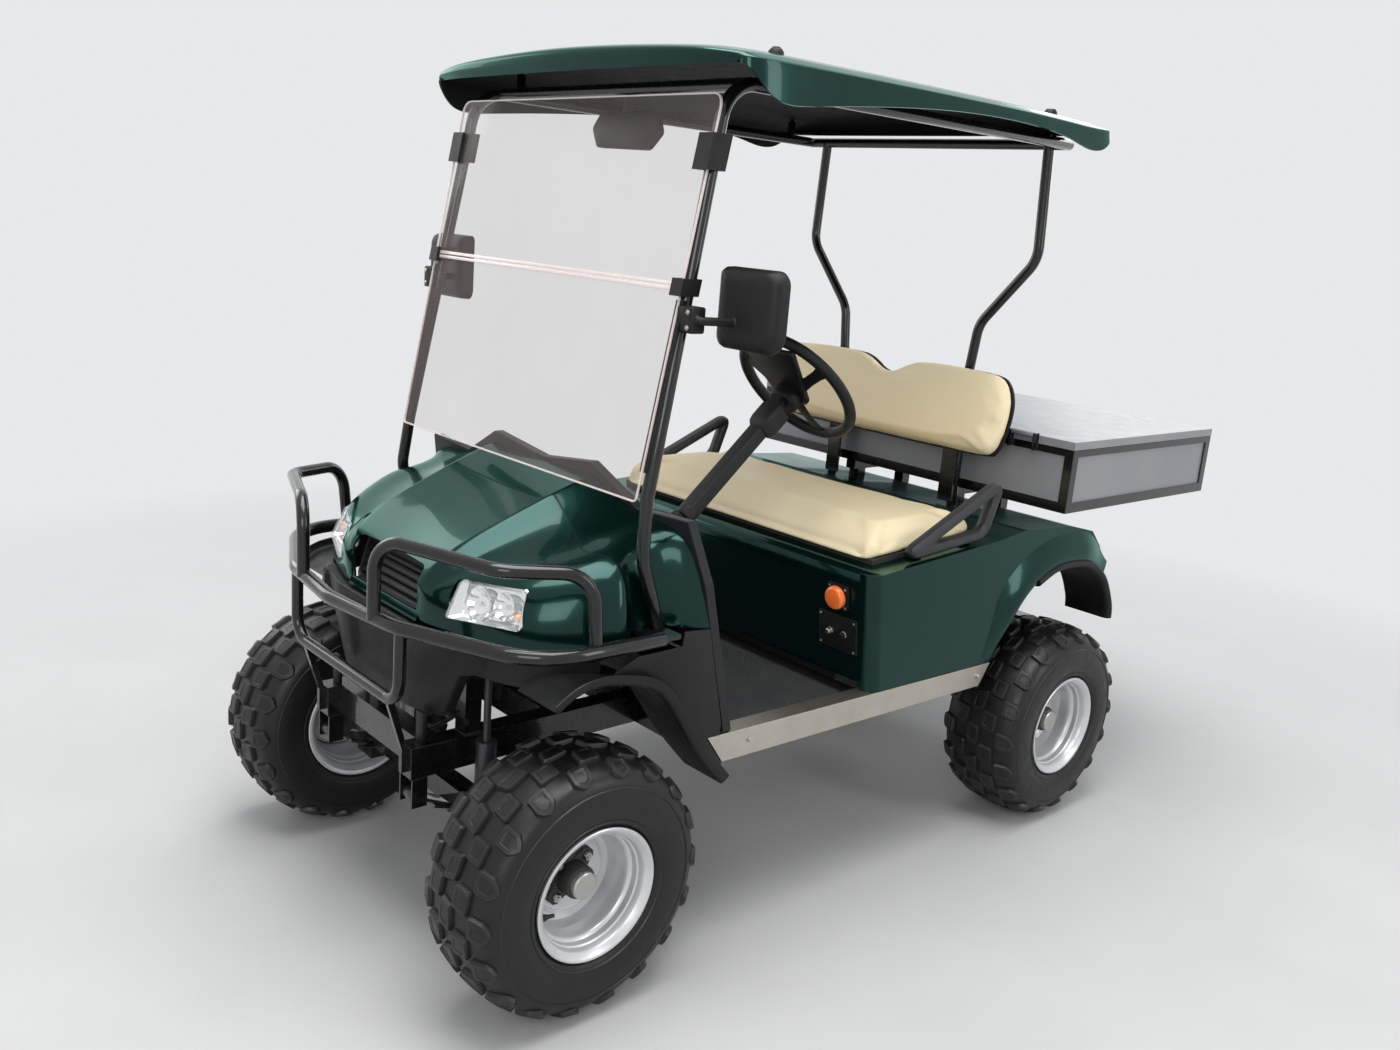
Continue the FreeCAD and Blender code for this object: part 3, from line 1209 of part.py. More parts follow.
BRACKET_WIDE = 50.0
BRACKET_X = 222.0
BRACKET_THICK = 8.0


def seat_back_brackets():
    face = REAR_STRUT_Y - STRUT_R - FIT
    plates = []
    for side in (1, -1):
        x0, x1 = BRACKET_X - BRACKET_WIDE / 2, BRACKET_X + BRACKET_WIDE / 2
        plate = sided(x0, x1, face - BRACKET_THICK, face, deck(REAR_STRUT_Y) + 6, 1135, side)
        spacer = sided(x0 + 5, x1 - 5, BACK_FOOT_Y, face - BRACKET_THICK + 1, 1045, 1115, side)
        plates.append(fuse([plate, spacer.cut(seat_back())]))
    return Part.makeCompound([p.cut(seat_back()) for p in plates])


# Cargo box

def cargo_frame():
    """Angle bars along every edge of the box except the lid's."""
    half = BOX_HALF_WIDTH
    bar = BOX_BAR
    low, top = BOX_LOW_Z, BOX_LOW_Z + BOX_HIGH - LID_THICK - FIT
    front, rear = BOX_FRONT_Y, REAR_END_Y
    parts = []
    for side in (1, -1):
        for y0, y1 in ((front, front + bar), (rear - bar, rear)):
            parts.append(sided(half - bar, half, y0, y1, low, top, side))
        for z0, z1 in ((low, low + bar), (top - bar + 8, top)):
            parts.append(sided(half - bar, half, front, rear, z0, z1, side))
    for y0, y1 in ((front, front + bar), (rear - bar, rear)):
        for z0, z1 in ((low, low + bar), (top - bar + 8, top)):
            parts.append(box(-half, half, y0, y1, z0, z1))
    frame = fuse(parts)
    room = box(-half + SHEET, half - SHEET, front + SHEET, rear - SHEET, low + SHEET, top + 1)
    frame = frame.cut(room)
    ears = []
    for side in (1, -1):
        for x in (LID_HINGE_X - 40, LID_HINGE_X + 40):
            ears.append(sided(x - 3, x + 3, LID_HINGE_Y - 8, front + SHEET, top - 20, LID_HINGE_Z + 6, side))
        ears.append(rod((side * (LID_HINGE_X - 42), LID_HINGE_Y, LID_HINGE_Z),
                        (side * (LID_HINGE_X + 42), LID_HINGE_Y, LID_HINGE_Z), HINGE_PIN_R))
    return fuse([frame] + ears)


def cargo_panels():
    """Floor and four walls inside the bars, one folded tray."""
    inset = SHEET + FIT
    half = BOX_HALF_WIDTH - inset
    front, rear = BOX_FRONT_Y + inset, REAR_END_Y - inset
    low, top = BOX_LOW_Z + inset, BOX_LOW_Z + BOX_HIGH - LID_THICK - 2
    wall = BOX_PANEL
    tray = box(-half, half, front, rear, low, top)
    return tray.cut(box(-half + wall, half - wall, front + wall, rear - wall, low + wall, top + 1))


def cargo_lid():
    """A framed flat lid, hinged along its front edge."""
    half = BOX_HALF_WIDTH
    top = BOX_LOW_Z + BOX_HIGH
    low = top - LID_THICK
    front, rear = BOX_FRONT_Y, REAR_END_Y
    lid = box(-half, half, front, rear, low, top)
    lid = lid.cut(box(-half + SHEET, half - SHEET, front + SHEET, rear - SHEET, low - 1, top - SHEET))
    straps = []
    for side in (1, -1):
        x0, x1 = LID_HINGE_X - 36, LID_HINGE_X + 36
        straps.append(sided(x0, x1, LID_HINGE_Y, front + 1, LID_HINGE_Z - 3, LID_HINGE_Z + 3, side))
        straps.append(rod((side * x0, LID_HINGE_Y, LID_HINGE_Z), (side * x1, LID_HINGE_Y, LID_HINGE_Z), 7))
    lid = fuse([lid] + straps)
    for side in (1, -1):
        lid = lid.cut(rod((side * (LID_HINGE_X - 50), LID_HINGE_Y, LID_HINGE_Z),
                          (side * (LID_HINGE_X + 50), LID_HINGE_Y, LID_HINGE_Z), HINGE_PIN_R + FIT))
        for x in (LID_HINGE_X - 40, LID_HINGE_X + 40):
            lid = lid.cut(sided(x - 5, x + 5, front - 20, front + SHEET + 4, low - 1, top + 1, side))
    return lid


# Roof, windshield and mirrors

# Half sections of the roof: y, then x and z at the skirt's lower edge, the side, the shoulder,
# then z on the centre line
ROOF = (
    (-612, 540, 1872, 540, 1893, 420, 1914, 1930),
    (-560, 575, 1812, 572, 1886, 440, 1924, 1944),
    (-470, 588, 1808, 582, 1892, 450, 1930, 1950),
    (-400, 590, 1850, 584, 1894, 452, 1932, 1952),
    (450, 590, 1866, 584, 1894, 452, 1934, 1953),
    (540, 588, 1842, 582, 1892, 450, 1932, 1951),
    (650, 580, 1842, 575, 1890, 444, 1928, 1946),
    (715, 562, 1886, 560, 1900, 430, 1920, 1934),
)
ROOF_COLUMNS = 3
ROOF_POST_Y = (-380.0, 600.0)
ROOF_POST_R = 11.0
ROOF_BOLT_R = 5.0


def canopy():
    roof = shell(ROOF, ROOF_COLUMNS, ROOF_WALL, 60, False, False)
    for side in (1, -1):
        for y in ROOF_POST_Y:
            x = side * ROOF_RAIL_X
            roof = roof.cut(rod((x, y, 1800), (x, y, 2000), ROOF_BOLT_R + FIT))
    return roof


def post_top(y):
    """Height of the roof's skin over a rail at a post."""
    for a, b in zip(ROOF, ROOF[1:]):
        if a[0] <= y <= b[0]:
            share = (y - a[0]) / (b[0] - a[0])
            x_mid, z_mid = a[5] + share * (b[5] - a[5]), a[6] + share * (b[6] - a[6])
            x_side, z_side = a[3] + share * (b[3] - a[3]), a[4] + share * (b[4] - a[4])
            return z_mid + (ROOF_RAIL_X - x_mid) * (z_side - z_mid) / (x_side - x_mid)


def front_strut_points(side):
    x_high, y_high, z_high = STRUT_HIGH
    x_knee, y_knee, z_knee = STRUT_KNEE
    rise = (ROOF_RAIL_Z - z_high) / (z_high - z_knee)
    corner = (x_high + rise * (x_high - x_knee), y_high + rise * (y_high - y_knee), ROOF_RAIL_Z)
    foot = tuple(V(*STRUT_FOOT) + (V(*STRUT_FOOT) - V(*STRUT_BEND)) * 0.15)
    points = [foot, STRUT_BEND, STRUT_KNEE, corner, (ROOF_RAIL_X, REAR_STRUT_Y, ROOF_RAIL_Z)]
    return [(side * x, y, z) for x, y, z in points]


REAR_STRUT_TOP_X = 395.0
REAR_STRUT_BEND = (409.0, 1565.0)
REAR_STRUT_LOW_BEND = (250.0, 1378.0)
REAR_STRUT_FOOT_Z = 1240.0


def roof_frame():
    """Front struts bent into the roof rails, the cross tubes, and the rear struts down to the frame."""
    parts = []
    for side in (1, -1):
        strut = tube(front_strut_points(side), STRUT_R, 90)
        foot = box(-WIDE_CUT, WIDE_CUT, STRUT_BEND[1] - 30, STRUT_FOOT[1] + 30, STRUT_FOOT[2] - 70,
                   STRUT_FOOT[2] + FIT)
        parts.append(strut.cut(foot))
        rear = [(REAR_STRUT_TOP_X, REAR_STRUT_Y, ROOF_RAIL_Z), (REAR_STRUT_BEND[0], REAR_STRUT_Y, REAR_STRUT_BEND[1]),
                (REAR_STRUT_LOW_BEND[0], REAR_STRUT_Y, REAR_STRUT_LOW_BEND[1]),
                (REAR_STRUT_FOOT_X, REAR_STRUT_Y, REAR_STRUT_FOOT_Z),
                (REAR_STRUT_FOOT_X, REAR_STRUT_Y, RAIL_TOP_Z)]
        parts.append(tube([(side * x, y, z) for x, y, z in rear], STRUT_R, 90))
        for y in ROOF_POST_Y:
            x = side * ROOF_RAIL_X
            top = post_top(y)
            parts.append(rod((x, y, ROOF_RAIL_Z), (x, y, top - ROOF_WALL - 9), ROOF_POST_R))
            parts.append(rod((x, y, ROOF_RAIL_Z), (x, y, top + 4), ROOF_BOLT_R))
            parts.append(rod((x, y, top + 4), (x, y, top + 9), ROOF_BOLT_R + 4))
    for y in (ROOF_CROSS_Y, REAR_STRUT_Y):
        parts.append(rod((-ROOF_RAIL_X, y, ROOF_RAIL_Z), (ROOF_RAIL_X, y, ROOF_RAIL_Z), STRUT_R))
    return fuse(parts)


GLASS_GAP = 3.0
GLASS_HALF_WIDTH = BODY_HALF_WIDTH - 76.0
GLASS_LOW_Z = 1040.0
GLASS_FOLD_Z = 1465.0
GLASS_TOP_Z = 1835.0


def strut_line(z, ahead):
    """y on the strut's straight run at height z, moved forwards by a distance square to it."""
    (x0, y0, z0), (x1, y1, z1) = STRUT_KNEE, STRUT_HIGH
    slope = (y1 - y0) / (z1 - z0)
    return y0 + (z - z0) * slope - ahead * hypot(1, slope)


def slab(z0, z1, ahead0, ahead1, x0, x1):
    """A slab along the struts between two distances ahead of them."""
    ring = [(strut_line(z0, ahead0), z0), (strut_line(z1, ahead0), z1),
            (strut_line(z1, ahead1), z1), (strut_line(z0, ahead1), z0)]
    return prism_x(ring, x0, x1)


def windshield(z0, z1):
    near = STRUT_R + GLASS_GAP
    return slab(z0, z1, near, near + GLASS, -GLASS_HALF_WIDTH, GLASS_HALF_WIDTH)


# Clips from the top down: z from and to, how far they reach inwards and outwards from the glass's edge,
# and whether they hold it from the front too
CLIPS = (
    (1690.0, 1760.0, 34.0, 10.0, True),
    (1448.0, 1482.0, 22.0, 12.0, True),
    (1100.0, 1440.0, 12.0, 10.0, False),
)
CLIP_OVER = 8.0


def windshield_clips():
    """The rubber channels on the lower struts, the fold joints and the top clips."""
    near = STRUT_R + GLASS_GAP
    far = near + GLASS + FIT
    pieces = []
    for z0, z1, inner, outer, over_glass in CLIPS:
        x0, x1 = GLASS_HALF_WIDTH - inner, GLASS_HALF_WIDTH + outer
        front = far + CLIP_OVER if over_glass else near - FIT
        block = slab(z0, z1, -STRUT_R - 4 if front > near else 0, front, x0, x1)
        glass = slab(GLASS_LOW_Z - 5, GLASS_TOP_Z + 5, near - FIT, far, -GLASS_HALF_WIDTH - FIT,
                     GLASS_HALF_WIDTH + FIT)
        pieces.append(block.cut(glass))
    strut = tube(front_strut_points(1), STRUT_R, 90)
    left = [p.cut(strut) for p in pieces]
    return Part.makeCompound(left + [mirror(p) for p in left])


MIRROR_X = (GLASS_HALF_WIDTH + 12.0, GLASS_HALF_WIDTH + 182.0)
MIRROR_Z = (1350.0, 1512.0)
MIRROR_Y = (-520.0, -480.0)


def side_mirrors():
    strut = tube(front_strut_points(1), STRUT_R, 90)
    x0, x1 = MIRROR_X
    z0, z1 = MIRROR_Z
    y0, y1 = MIRROR_Y
    head = prism([(x0 + 12, y0, z0), (x1 - 22, y0, z0), (x1, y0, z0 + 26), (x1, y0, z1 - 18),
                  (x1 - 18, y0, z1), (x0 + 8, y0, z1), (x0, y0, z1 - 8), (x0, y0, z0 + 16)], (0, y1 - y0, 0))
    clamp_z = 1405.0
    clamp_y = strut_line(clamp_z, 0)
    clamp = box(472, 520, clamp_y - 17, clamp_y + 20, clamp_z - 26, clamp_z + 26)
    arm = rod((505, clamp_y, clamp_z), (540, y0 + 5, clamp_z), 11)
    mirror_one = fuse([head, clamp.cut(windshield(GLASS_LOW_Z, GLASS_FOLD_Z)), arm]).cut(strut)
    mirror_one = mirror_one.cut(windshield_clips())
    return Part.makeCompound([mirror_one, mirror(mirror_one)])


def interior_mirror():
    x = 65.0
    y = ROOF_CROSS_Y
    z = 1778.0
    head = box(x - 120, x + 120, y - 14, y + 14, z - 36, z + 36)
    stem = rod((x, y, z + 30), (x, y, ROOF_RAIL_Z - STRUT_R + 4), 9)
    return fuse([head, stem]).cut(rod((-200, y, ROOF_RAIL_Z), (300, y, ROOF_RAIL_Z), STRUT_R + FIT))


TAIL_LAMP = (330.0, 470.0, 655.0, 715.0)


def tail_lights():
    x0, x1, z0, z1 = TAIL_LAMP
    rear = REAR_SIDE[-1][0]
    return Part.makeCompound([sided(x0, x1, rear + FIT, rear + 22, z0, z1 - 18, side) for side in (1, -1)])


def sub_parts():
    """Every sub-part by its node's name."""
    parts = {
        "chassis_frame": chassis_frame(),
        "front_axle": front_axle(),
        "rear_axle": rear_axle(),
        "drive_motor": drive_motor(),
        "leaf_springs": leaf_springs(),
        "shock_absorbers": shock_absorbers(),
        "steering_box": steering_box(),
        "pitman_arm": pitman_arm(),
        "tie_rod": tie_rod(),
        "knuckle_left": knuckle(1),
        "knuckle_right": knuckle(-1),
        "cowl": cowl(),
        "grille": grille(),
        "headlights": headlights(),
        "front_lower_panel": front_lower_panel(),
        "front_flare_left": front_flare(1),
        "front_flare_right": front_flare(-1),
        "brush_guard": brush_guard(),
        "floor_pan": floor_pan(),
        "floor_mat": floor_mat(),
        "rocker_panels": rocker_panels(),
        "dash_panel": dash_panel(),
        "steering_column": steering_column(),
        "steering_wheel": steering_wheel(),
        "pedals": pedals(),
        "rear_body": rear_body(),
        "rear_flare_left": rear_flare(1),
        "rear_flare_right": rear_flare(-1),
        "battery_pack": battery_pack(),
        "kick_panel_controls": kick_panel_controls(),
        "seat_board": seat_board(),
        "seat_cushion": seat_cushion(),
        "hip_restraints": hip_restraints(),
        "seat_back": seat_back(),
        "seat_back_brackets": seat_back_brackets(),
        "cargo_frame": cargo_frame(),
        "cargo_panels": cargo_panels(),
        "cargo_lid": cargo_lid(),
        "roof_frame": roof_frame(),
        "canopy": canopy(),
        "windshield_lower": windshield(GLASS_LOW_Z, GLASS_FOLD_Z - 3),
        "windshield_upper": windshield(GLASS_FOLD_Z + 3, GLASS_TOP_Z),
        "windshield_clips": windshield_clips(),
        "side_mirrors": side_mirrors(),
        "interior_mirror": interior_mirror(),
        "tail_lights": tail_lights(),
    }
    corners = (("front", FRONT_AXLE_Y, FRONT_TRACK / 2), ("rear", REAR_AXLE_Y, REAR_TRACK / 2))
    one_tyre = tyre()
    for place, y, half in corners:
        for name, side in (("left", 1), ("right", -1)):
            parts[f"tyre_{place}_{name}"] = one_tyre.translated(V(side * half, y, AXLE_Z))
            parts[f"wheel_{place}_{name}"] = wheel(side * half, y, side)
    return parts


def main():
    os.makedirs("parts", exist_ok=True)
    for name, shape in sub_parts().items():
        shape.translate(V(0, -ORIGIN_Y, 0))
        shape.exportStep(f"parts/{name}.step")


main()
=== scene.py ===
import json
import math

import bmesh
import bpy
from mathutils import Matrix, Vector


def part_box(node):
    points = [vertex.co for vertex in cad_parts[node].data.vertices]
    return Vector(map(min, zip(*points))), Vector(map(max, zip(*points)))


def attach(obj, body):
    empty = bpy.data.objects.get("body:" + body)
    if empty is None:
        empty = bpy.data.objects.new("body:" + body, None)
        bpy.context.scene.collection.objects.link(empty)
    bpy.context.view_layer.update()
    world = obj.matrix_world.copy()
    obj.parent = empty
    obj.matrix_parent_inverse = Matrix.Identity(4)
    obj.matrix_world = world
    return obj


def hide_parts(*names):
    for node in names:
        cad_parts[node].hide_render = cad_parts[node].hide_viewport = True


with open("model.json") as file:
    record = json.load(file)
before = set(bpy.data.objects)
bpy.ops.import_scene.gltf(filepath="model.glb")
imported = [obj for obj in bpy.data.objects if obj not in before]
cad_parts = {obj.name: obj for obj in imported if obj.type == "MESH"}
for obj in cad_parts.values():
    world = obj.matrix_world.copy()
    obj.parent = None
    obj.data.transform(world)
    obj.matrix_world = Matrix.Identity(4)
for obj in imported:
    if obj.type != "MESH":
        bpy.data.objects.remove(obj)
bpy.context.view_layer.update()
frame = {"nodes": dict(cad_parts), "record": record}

# Places are in metres. Heights are above the ground, x is from the middle, and the y given to
# here() is from the middle of the wheelbase, which the frame's joints fix.
JOINTS = {joint["name"]: joint for joint in frame["record"]["behaviour"]["joints"]}
FRONT_AXLE = Vector(JOINTS["front_left_wheel_spin"]["pos_m"])
REAR_AXLE = Vector(JOINTS["rear_left_wheel_spin"]["pos_m"])
MID_Y = (FRONT_AXLE.y + REAR_AXLE.y) / 2
SIDES = (("left", 1), ("right", -1))
ORIGIN = (0, 0, 0)
UP = (0, 0, 1)


def here(x, y, z):
    return Vector((x, MID_Y + y, z))


def clamped(value, low, high):
    return min(max(value, low), high)


def eased(value, low, high):
    """0 below low and 1 above high, with a soft start and end between them."""
    t = clamped((value - low) / (high - low), 0, 1)
    return t * t * (3 - 2 * t)


# Materials

def new_look(name):
    look = bpy.data.materials.new(name)
    look.use_nodes = True
    return look, look.node_tree


def set_inputs(made, values):
    for key, value in values.items():
        made.inputs[key].default_value = value


def node(tree, kind, **values):
    made = tree.nodes.new(kind)
    for key, value in values.items():
        if key in made.inputs:
            made.inputs[key].default_value = value
        else:
            setattr(made, key, value)
    return made


def place(tree, scale=(1, 1, 1)):
    """Object coordinates, stretched."""
    coords = tree.nodes.new("ShaderNodeTexCoord")
    mapping = node(tree, "ShaderNodeMapping", Scale=scale)
    tree.links.new(coords.outputs["Object"], mapping.inputs["Vector"])
    return mapping.outputs["Vector"]


def noise(tree, scale, detail=4.0, rough=0.6, vector=None):
    made = node(tree, "ShaderNodeTexNoise", Scale=scale, Detail=detail, Roughness=rough)
    tree.links.new(vector or place(tree), made.inputs["Vector"])
    return made.outputs["Fac"]


def ramp(tree, source, stops):
    """stops are (position, colour or grey)."""
    made = tree.nodes.new("ShaderNodeValToRGB")
    for element, (position, colour) in zip(made.color_ramp.elements, stops):
        element.position = position
        if not isinstance(colour, tuple):
            colour = (colour, colour, colour)
        element.color = (*colour, 1)
    tree.links.new(source, made.inputs["Fac"])
    return made.outputs["Color"]


def patches(tree, scale, detail, low, high, most, rough=0.6):
    """A share that is 0 where the noise is below low and most where it is above high."""
    return ramp(tree, noise(tree, scale, detail, rough), ((low, 0.0), (high, most)))


def mixed(tree, share, first, second):
    made = node(tree, "ShaderNodeMix", data_type="RGBA")
    sockets = {s.identifier: s for s in made.inputs}
    for key, value in (("Factor_Float", share), ("A_Color", first), ("B_Color", second)):
        if isinstance(value, tuple):
            sockets[key].default_value = (*value, 1)
        else:
            tree.links.new(value, sockets[key])
    return made.outputs[2]


def dressed(look, colour, rough, layers, **values):
    """The finished material. rough is a number or (source, lowest, highest), and each bump layer is
    (source, strength, distance in metres). A source is a socket or a noise's scale and detail."""
    def socket(source):
        return noise(tree, *source) if isinstance(source, tuple) else source
    tree = look.node_tree
    shader = tree.nodes["Principled BSDF"]
    tree.links.new(colour, shader.inputs["Base Color"])
    if isinstance(rough, tuple):
        source, low, high = rough
        soft = ramp(tree, socket(source), ((0.3, low), (0.7, high)))
        tree.links.new(soft, shader.inputs["Roughness"])
    else:
        shader.inputs["Roughness"].default_value = rough
    set_inputs(shader, {key.replace("_", " "): value for key, value in values.items()})
    normal = None
    for source, strength, distance in layers:
        made = node(tree, "ShaderNodeBump", Strength=strength, Distance=distance)
        tree.links.new(socket(source), made.inputs["Height"])
        if normal:
            tree.links.new(normal, made.inputs["Normal"])
        normal = made.outputs["Normal"]
    tree.links.new(normal, shader.inputs["Normal"])
    return look


def surface(name, base, patch, second, rough, layers, worn_and_highlit=None, **values):
    """A material with patches, as patches() takes them, of a second colour. The optional argument after
    layers is the lowest and highest pointiness of the edges that get a paler colour, and that colour: partly
    wear, partly a painted highlight along the edges."""
    look, tree = new_look(name)
    colour = mixed(tree, patches(tree, *patch), base, second)
    if worn_and_highlit:
        low, high, pale = worn_and_highlit
        # Paler convex edges: partly wear, partly a painted highlight.
        geometry = tree.nodes.new("ShaderNodeNewGeometry")
        edges = ramp(tree, geometry.outputs["Pointiness"], ((low, 0.0), (high, 1.0)))
        colour = mixed(tree, edges, colour, pale)
    return dressed(look, colour, rough, layers, **values)


def paint_green():
    look, tree = new_look("green_paint")
    base = ramp(tree, noise(tree, 900, 2), ((0.35, (0.003, 0.017, 0.015)), (0.7, (0.006, 0.037, 0.032))))
    base = mixed(tree, patches(tree, 3.2, 3, 0.35, 0.75, 0.35), base, (0.004, 0.024, 0.021))
    return dressed(look, base, ((7, 5), 0.17, 0.25), (((38, 2), 0.04, 0.002),), Metallic=0.75,
                   Specular_Tint=(0.40, 0.80, 0.70, 1), Coat_Weight=0.45, Coat_IOR=1.38, Coat_Roughness=0.03)


def plastic_black(name="black_plastic", base=(0.0062, 0.0064, 0.007), grain=1600, rough=(0.40, 0.56)):
    pale = tuple(1.9 * c + 0.004 for c in base)
    return surface(name, base, (6, 4, 0.35, 0.8, 0.35), pale, ((24, 4), *rough),
                   (((grain, 3), 0.25, 0.0006), ((60, 3), 0.05, 0.002)), Specular_IOR_Level=0.28)


def steel_black(name="black_steel", base=(0.005, 0.005, 0.0055), rough=(0.18, 0.34)):
    return surface(name, base, (9, 6, 0.60, 0.85, 0.18), (0.022, 0.020, 0.018), ((30, 4), *rough),
                   (((420, 2), 0.06, 0.0006),), Specular_IOR_Level=0.25, Coat_Weight=0.8, Coat_IOR=1.4,
                   Coat_Roughness=0.06)


def metal(name, base, rough, metallic=1.0, brushed=None, wear=0.0):
    """A bare or painted metal; brushed is the stretch of its fine lines along x, y and z."""
    look, tree = new_look(name)
    colour = mixed(tree, patches(tree, 11, 5, 0.35, 0.8, 0.6), base, tuple(0.72 * c for c in base))
    if wear:
        colour = mixed(tree, patches(tree, 5, 8, 0.6, 0.8, wear, 0.7), colour, (0.16, 0.13, 0.10))
    source, bump = (26, 4), ((300, 3), 0.05, 0.0006)
    if brushed:
        source = noise(tree, 60, 5, 0.6, place(tree, brushed))
        bump = (source, 0.12, 0.0004)
    return dressed(look, colour, (source, *rough), (bump,), Metallic=metallic)


def vinyl_cream():
    look, tree = new_look("cream_vinyl")
    colour = mixed(tree, patches(tree, 4.5, 6, 0.35, 0.8, 0.5), (0.96, 0.82, 0.54), (0.94, 0.78, 0.49))
    colour = mixed(tree, patches(tree, 15, 9, 0.66, 0.8, 0.30, 0.75), colour, (0.80, 0.66, 0.41))
    grain = node(tree, "ShaderNodeTexVoronoi", Scale=620.0, feature="DISTANCE_TO_EDGE")
    tree.links.new(place(tree), grain.inputs["Vector"])
    pores = ramp(tree, grain.outputs["Distance"], ((0.0, 0.0), (0.22, 1.0)))
    return dressed(look, colour, ((30, 3), 0.40, 0.55), ((pores, 0.16, 0.0005), ((26, 4), 0.10, 0.003)))


def clear_sheet(name, colour, alpha, rough):
    look, tree = new_look(name)
    shader = tree.nodes["Principled BSDF"]
    smears = ramp(tree, noise(tree, 9, 5), ((0.4, rough), (0.8, rough + 0.06)))
    share = ramp(tree, noise(tree, 3, 4), ((0.3, alpha * 0.85), (0.8, alpha * 1.2)))
    tree.links.new(smears, shader.inputs["Roughness"])
    tree.links.new(share, shader.inputs["Alpha"])
    set_inputs(shader, {"Base Color": (*colour, 1), "IOR": 1.49, "Specular IOR Level": 1.0})
    return look


def board_black():
    look, tree = new_look("seat_board_black")
    grain = noise(tree, 30, 6, 0.6, place(tree, (0.5, 8, 8)))
    share = ramp(tree, grain, ((0.4, 0.0), (0.7, 0.6)))
    colour = mixed(tree, share, (0.02, 0.018, 0.016), (0.05, 0.044, 0.036))
    return dressed(look, colour, 0.7, ((grain, 0.2, 0.001),))


def foam_black():
    look, tree = new_look("black_foam")
    colour = ramp(tree, noise(tree, 30, 5), ((0.3, (0.009, 0.0095, 0.0105)), (0.8, (0.022, 0.023, 0.025))))
    return dressed(look, colour, ((18, 4), 0.38, 0.55), (((1100, 3), 0.3, 0.0006),))


def lens_colour(name, base, rough):
    look, tree = new_look(name)
    pale = tuple(min(1, 1.25 * c + 0.02) for c in base)
    return dressed(look, mixed(tree, noise(tree, 40, 2), base, pale), rough, (((90, 2), 0.05, 0.001),),
                   Coat_Weight=0.6)


LOOKS = {
    "black_steel": steel_black(),
    # Brown patches of rust, and paler edges that are partly wear, partly painted highlight.
    "cast_black": surface("cast_black", (0.013, 0.0125, 0.012), (14, 8, 0.55, 0.72, 0.55, 0.7),
                          (0.045, 0.026, 0.016), ((50, 4), 0.48, 0.75), (((500, 4), 0.35, 0.001),),
                          (0.50, 0.56, (0.055, 0.052, 0.048)), Metallic=0.35),
    "spring_steel": steel_black("spring_steel", (0.02, 0.02, 0.021), (0.35, 0.5)),
    "shock_grey": metal("shock_grey", (0.05, 0.052, 0.055), (0.25, 0.4), 0.5),
    # Paler patches of dust, and paler lug edges that are partly wear, partly painted highlight.
    "tyre_rubber": surface("tyre_rubber", (0.0042, 0.0043, 0.0046), (12, 8, 0.50, 0.8, 0.35, 0.65),
                           (0.013, 0.0125, 0.012), ((40, 4), 0.32, 0.50), (((700, 3), 0.15, 0.0008),),
                           (0.53, 0.62, (0.019, 0.019, 0.019)), Specular_IOR_Level=0.4),
    "wheel_silver": metal("wheel_silver", (0.66, 0.67, 0.68), (0.30, 0.36), 0.55),
    "green_metallic": paint_green(),
    "black_plastic": plastic_black(),
    "dash_plastic": plastic_black("dash_plastic", (0.011, 0.0115, 0.0125), 1300),
    "lamp_lens": clear_sheet("lamp_lens", (0.9, 0.93, 0.95), 0.16, 0.03),
    # The windshield's slight tint, its warm brownish hue a painted reflection.
    "clear_sheet": clear_sheet("clear_sheet", (0.30, 0.24, 0.22), 0.12, 0.03),
    "floor_rubber": surface("floor_rubber", (0.018, 0.019, 0.021), (7, 8, 0.4, 0.8, 0.6, 0.7),
                            (0.055, 0.055, 0.056), 0.62, (((500, 3), 0.2, 0.0006),)),
    "aluminium": metal("aluminium", (0.54, 0.50, 0.44), (0.28, 0.5), brushed=(40, 1, 40), wear=0.3),
    "battery_case": plastic_black("battery_case", (0.02, 0.02, 0.024), 900),
    "orange_plastic": lens_colour("orange_plastic", (0.85, 0.16, 0.02), 0.35),
    "cream_vinyl": vinyl_cream(),
    "seat_ply": board_black(),
    "black_foam": foam_black(),
    "panel_grey": surface("panel_grey", (0.27, 0.28, 0.30), (5, 7, 0.4, 0.8, 0.55, 0.65),
                          (0.36, 0.36, 0.36), ((20, 4), 0.34, 0.5), (((900, 2), 0.10, 0.0004),),
                          Metallic=0.25),
    "lamp_red": lens_colour("lamp_red", (0.45, 0.01, 0.01), 0.1),
}
GREEN = LOOKS["green_metallic"]
BLACK = LOOKS["black_plastic"]
LINING = plastic_black("roof_lining", (0.0030, 0.0030, 0.0033), 900, (0.78, 0.92))
CHROME = metal("bright_reflector", (0.86, 0.87, 0.88), (0.04, 0.10))
MIRROR = metal("mirror_face", (0.9, 0.91, 0.92), (0.01, 0.03))
BOLT = metal("zinc_bolt", (0.50, 0.49, 0.46), (0.25, 0.45), wear=0.3)
# Pale pinkish rims of the clear sheets: a painted highlight along their edges, tinted by painted reflection.
EDGE = clear_sheet("sheet_edge_painted_highlight", (0.95, 0.83, 0.80), 0.62, 0.2)
AMBER = lens_colour("amber_bulb", (0.9, 0.34, 0.08), 0.15)


# Mesh tools

def mesh_from(points, faces):
    mesh = bpy.data.meshes.new("form")
    mesh.from_pydata([tuple(p) for p in points], [], faces)
    mesh.update()
    return mesh


def linked(name, data):
    """A new object in the scene."""
    made = bpy.data.objects.new(name, data)
    bpy.context.scene.collection.objects.link(made)
    return made


def put(name, form, slot, replaced=None, body="chassis", smooth=40):
    """A finished piece out of a mesh or a list of them: its slot's material where it has none, its
    body, and the CAD node it stands for hidden."""
    mesh = joined(form) if isinstance(form, list) else form
    mesh.name = name
    piece = linked(name, mesh)
    if not mesh.materials:
        mesh.materials.append(LOOKS[slot])
    mesh.shade_smooth()
    mesh.set_sharp_from_angle(angle=math.radians(smooth))
    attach(piece, body)
    if replaced:
        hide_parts(replaced)
    return piece


def add(piece, kind, **values):
    made = piece.modifiers.new(kind.lower(), kind)
    for key, value in values.items():
        setattr(made, key, value)


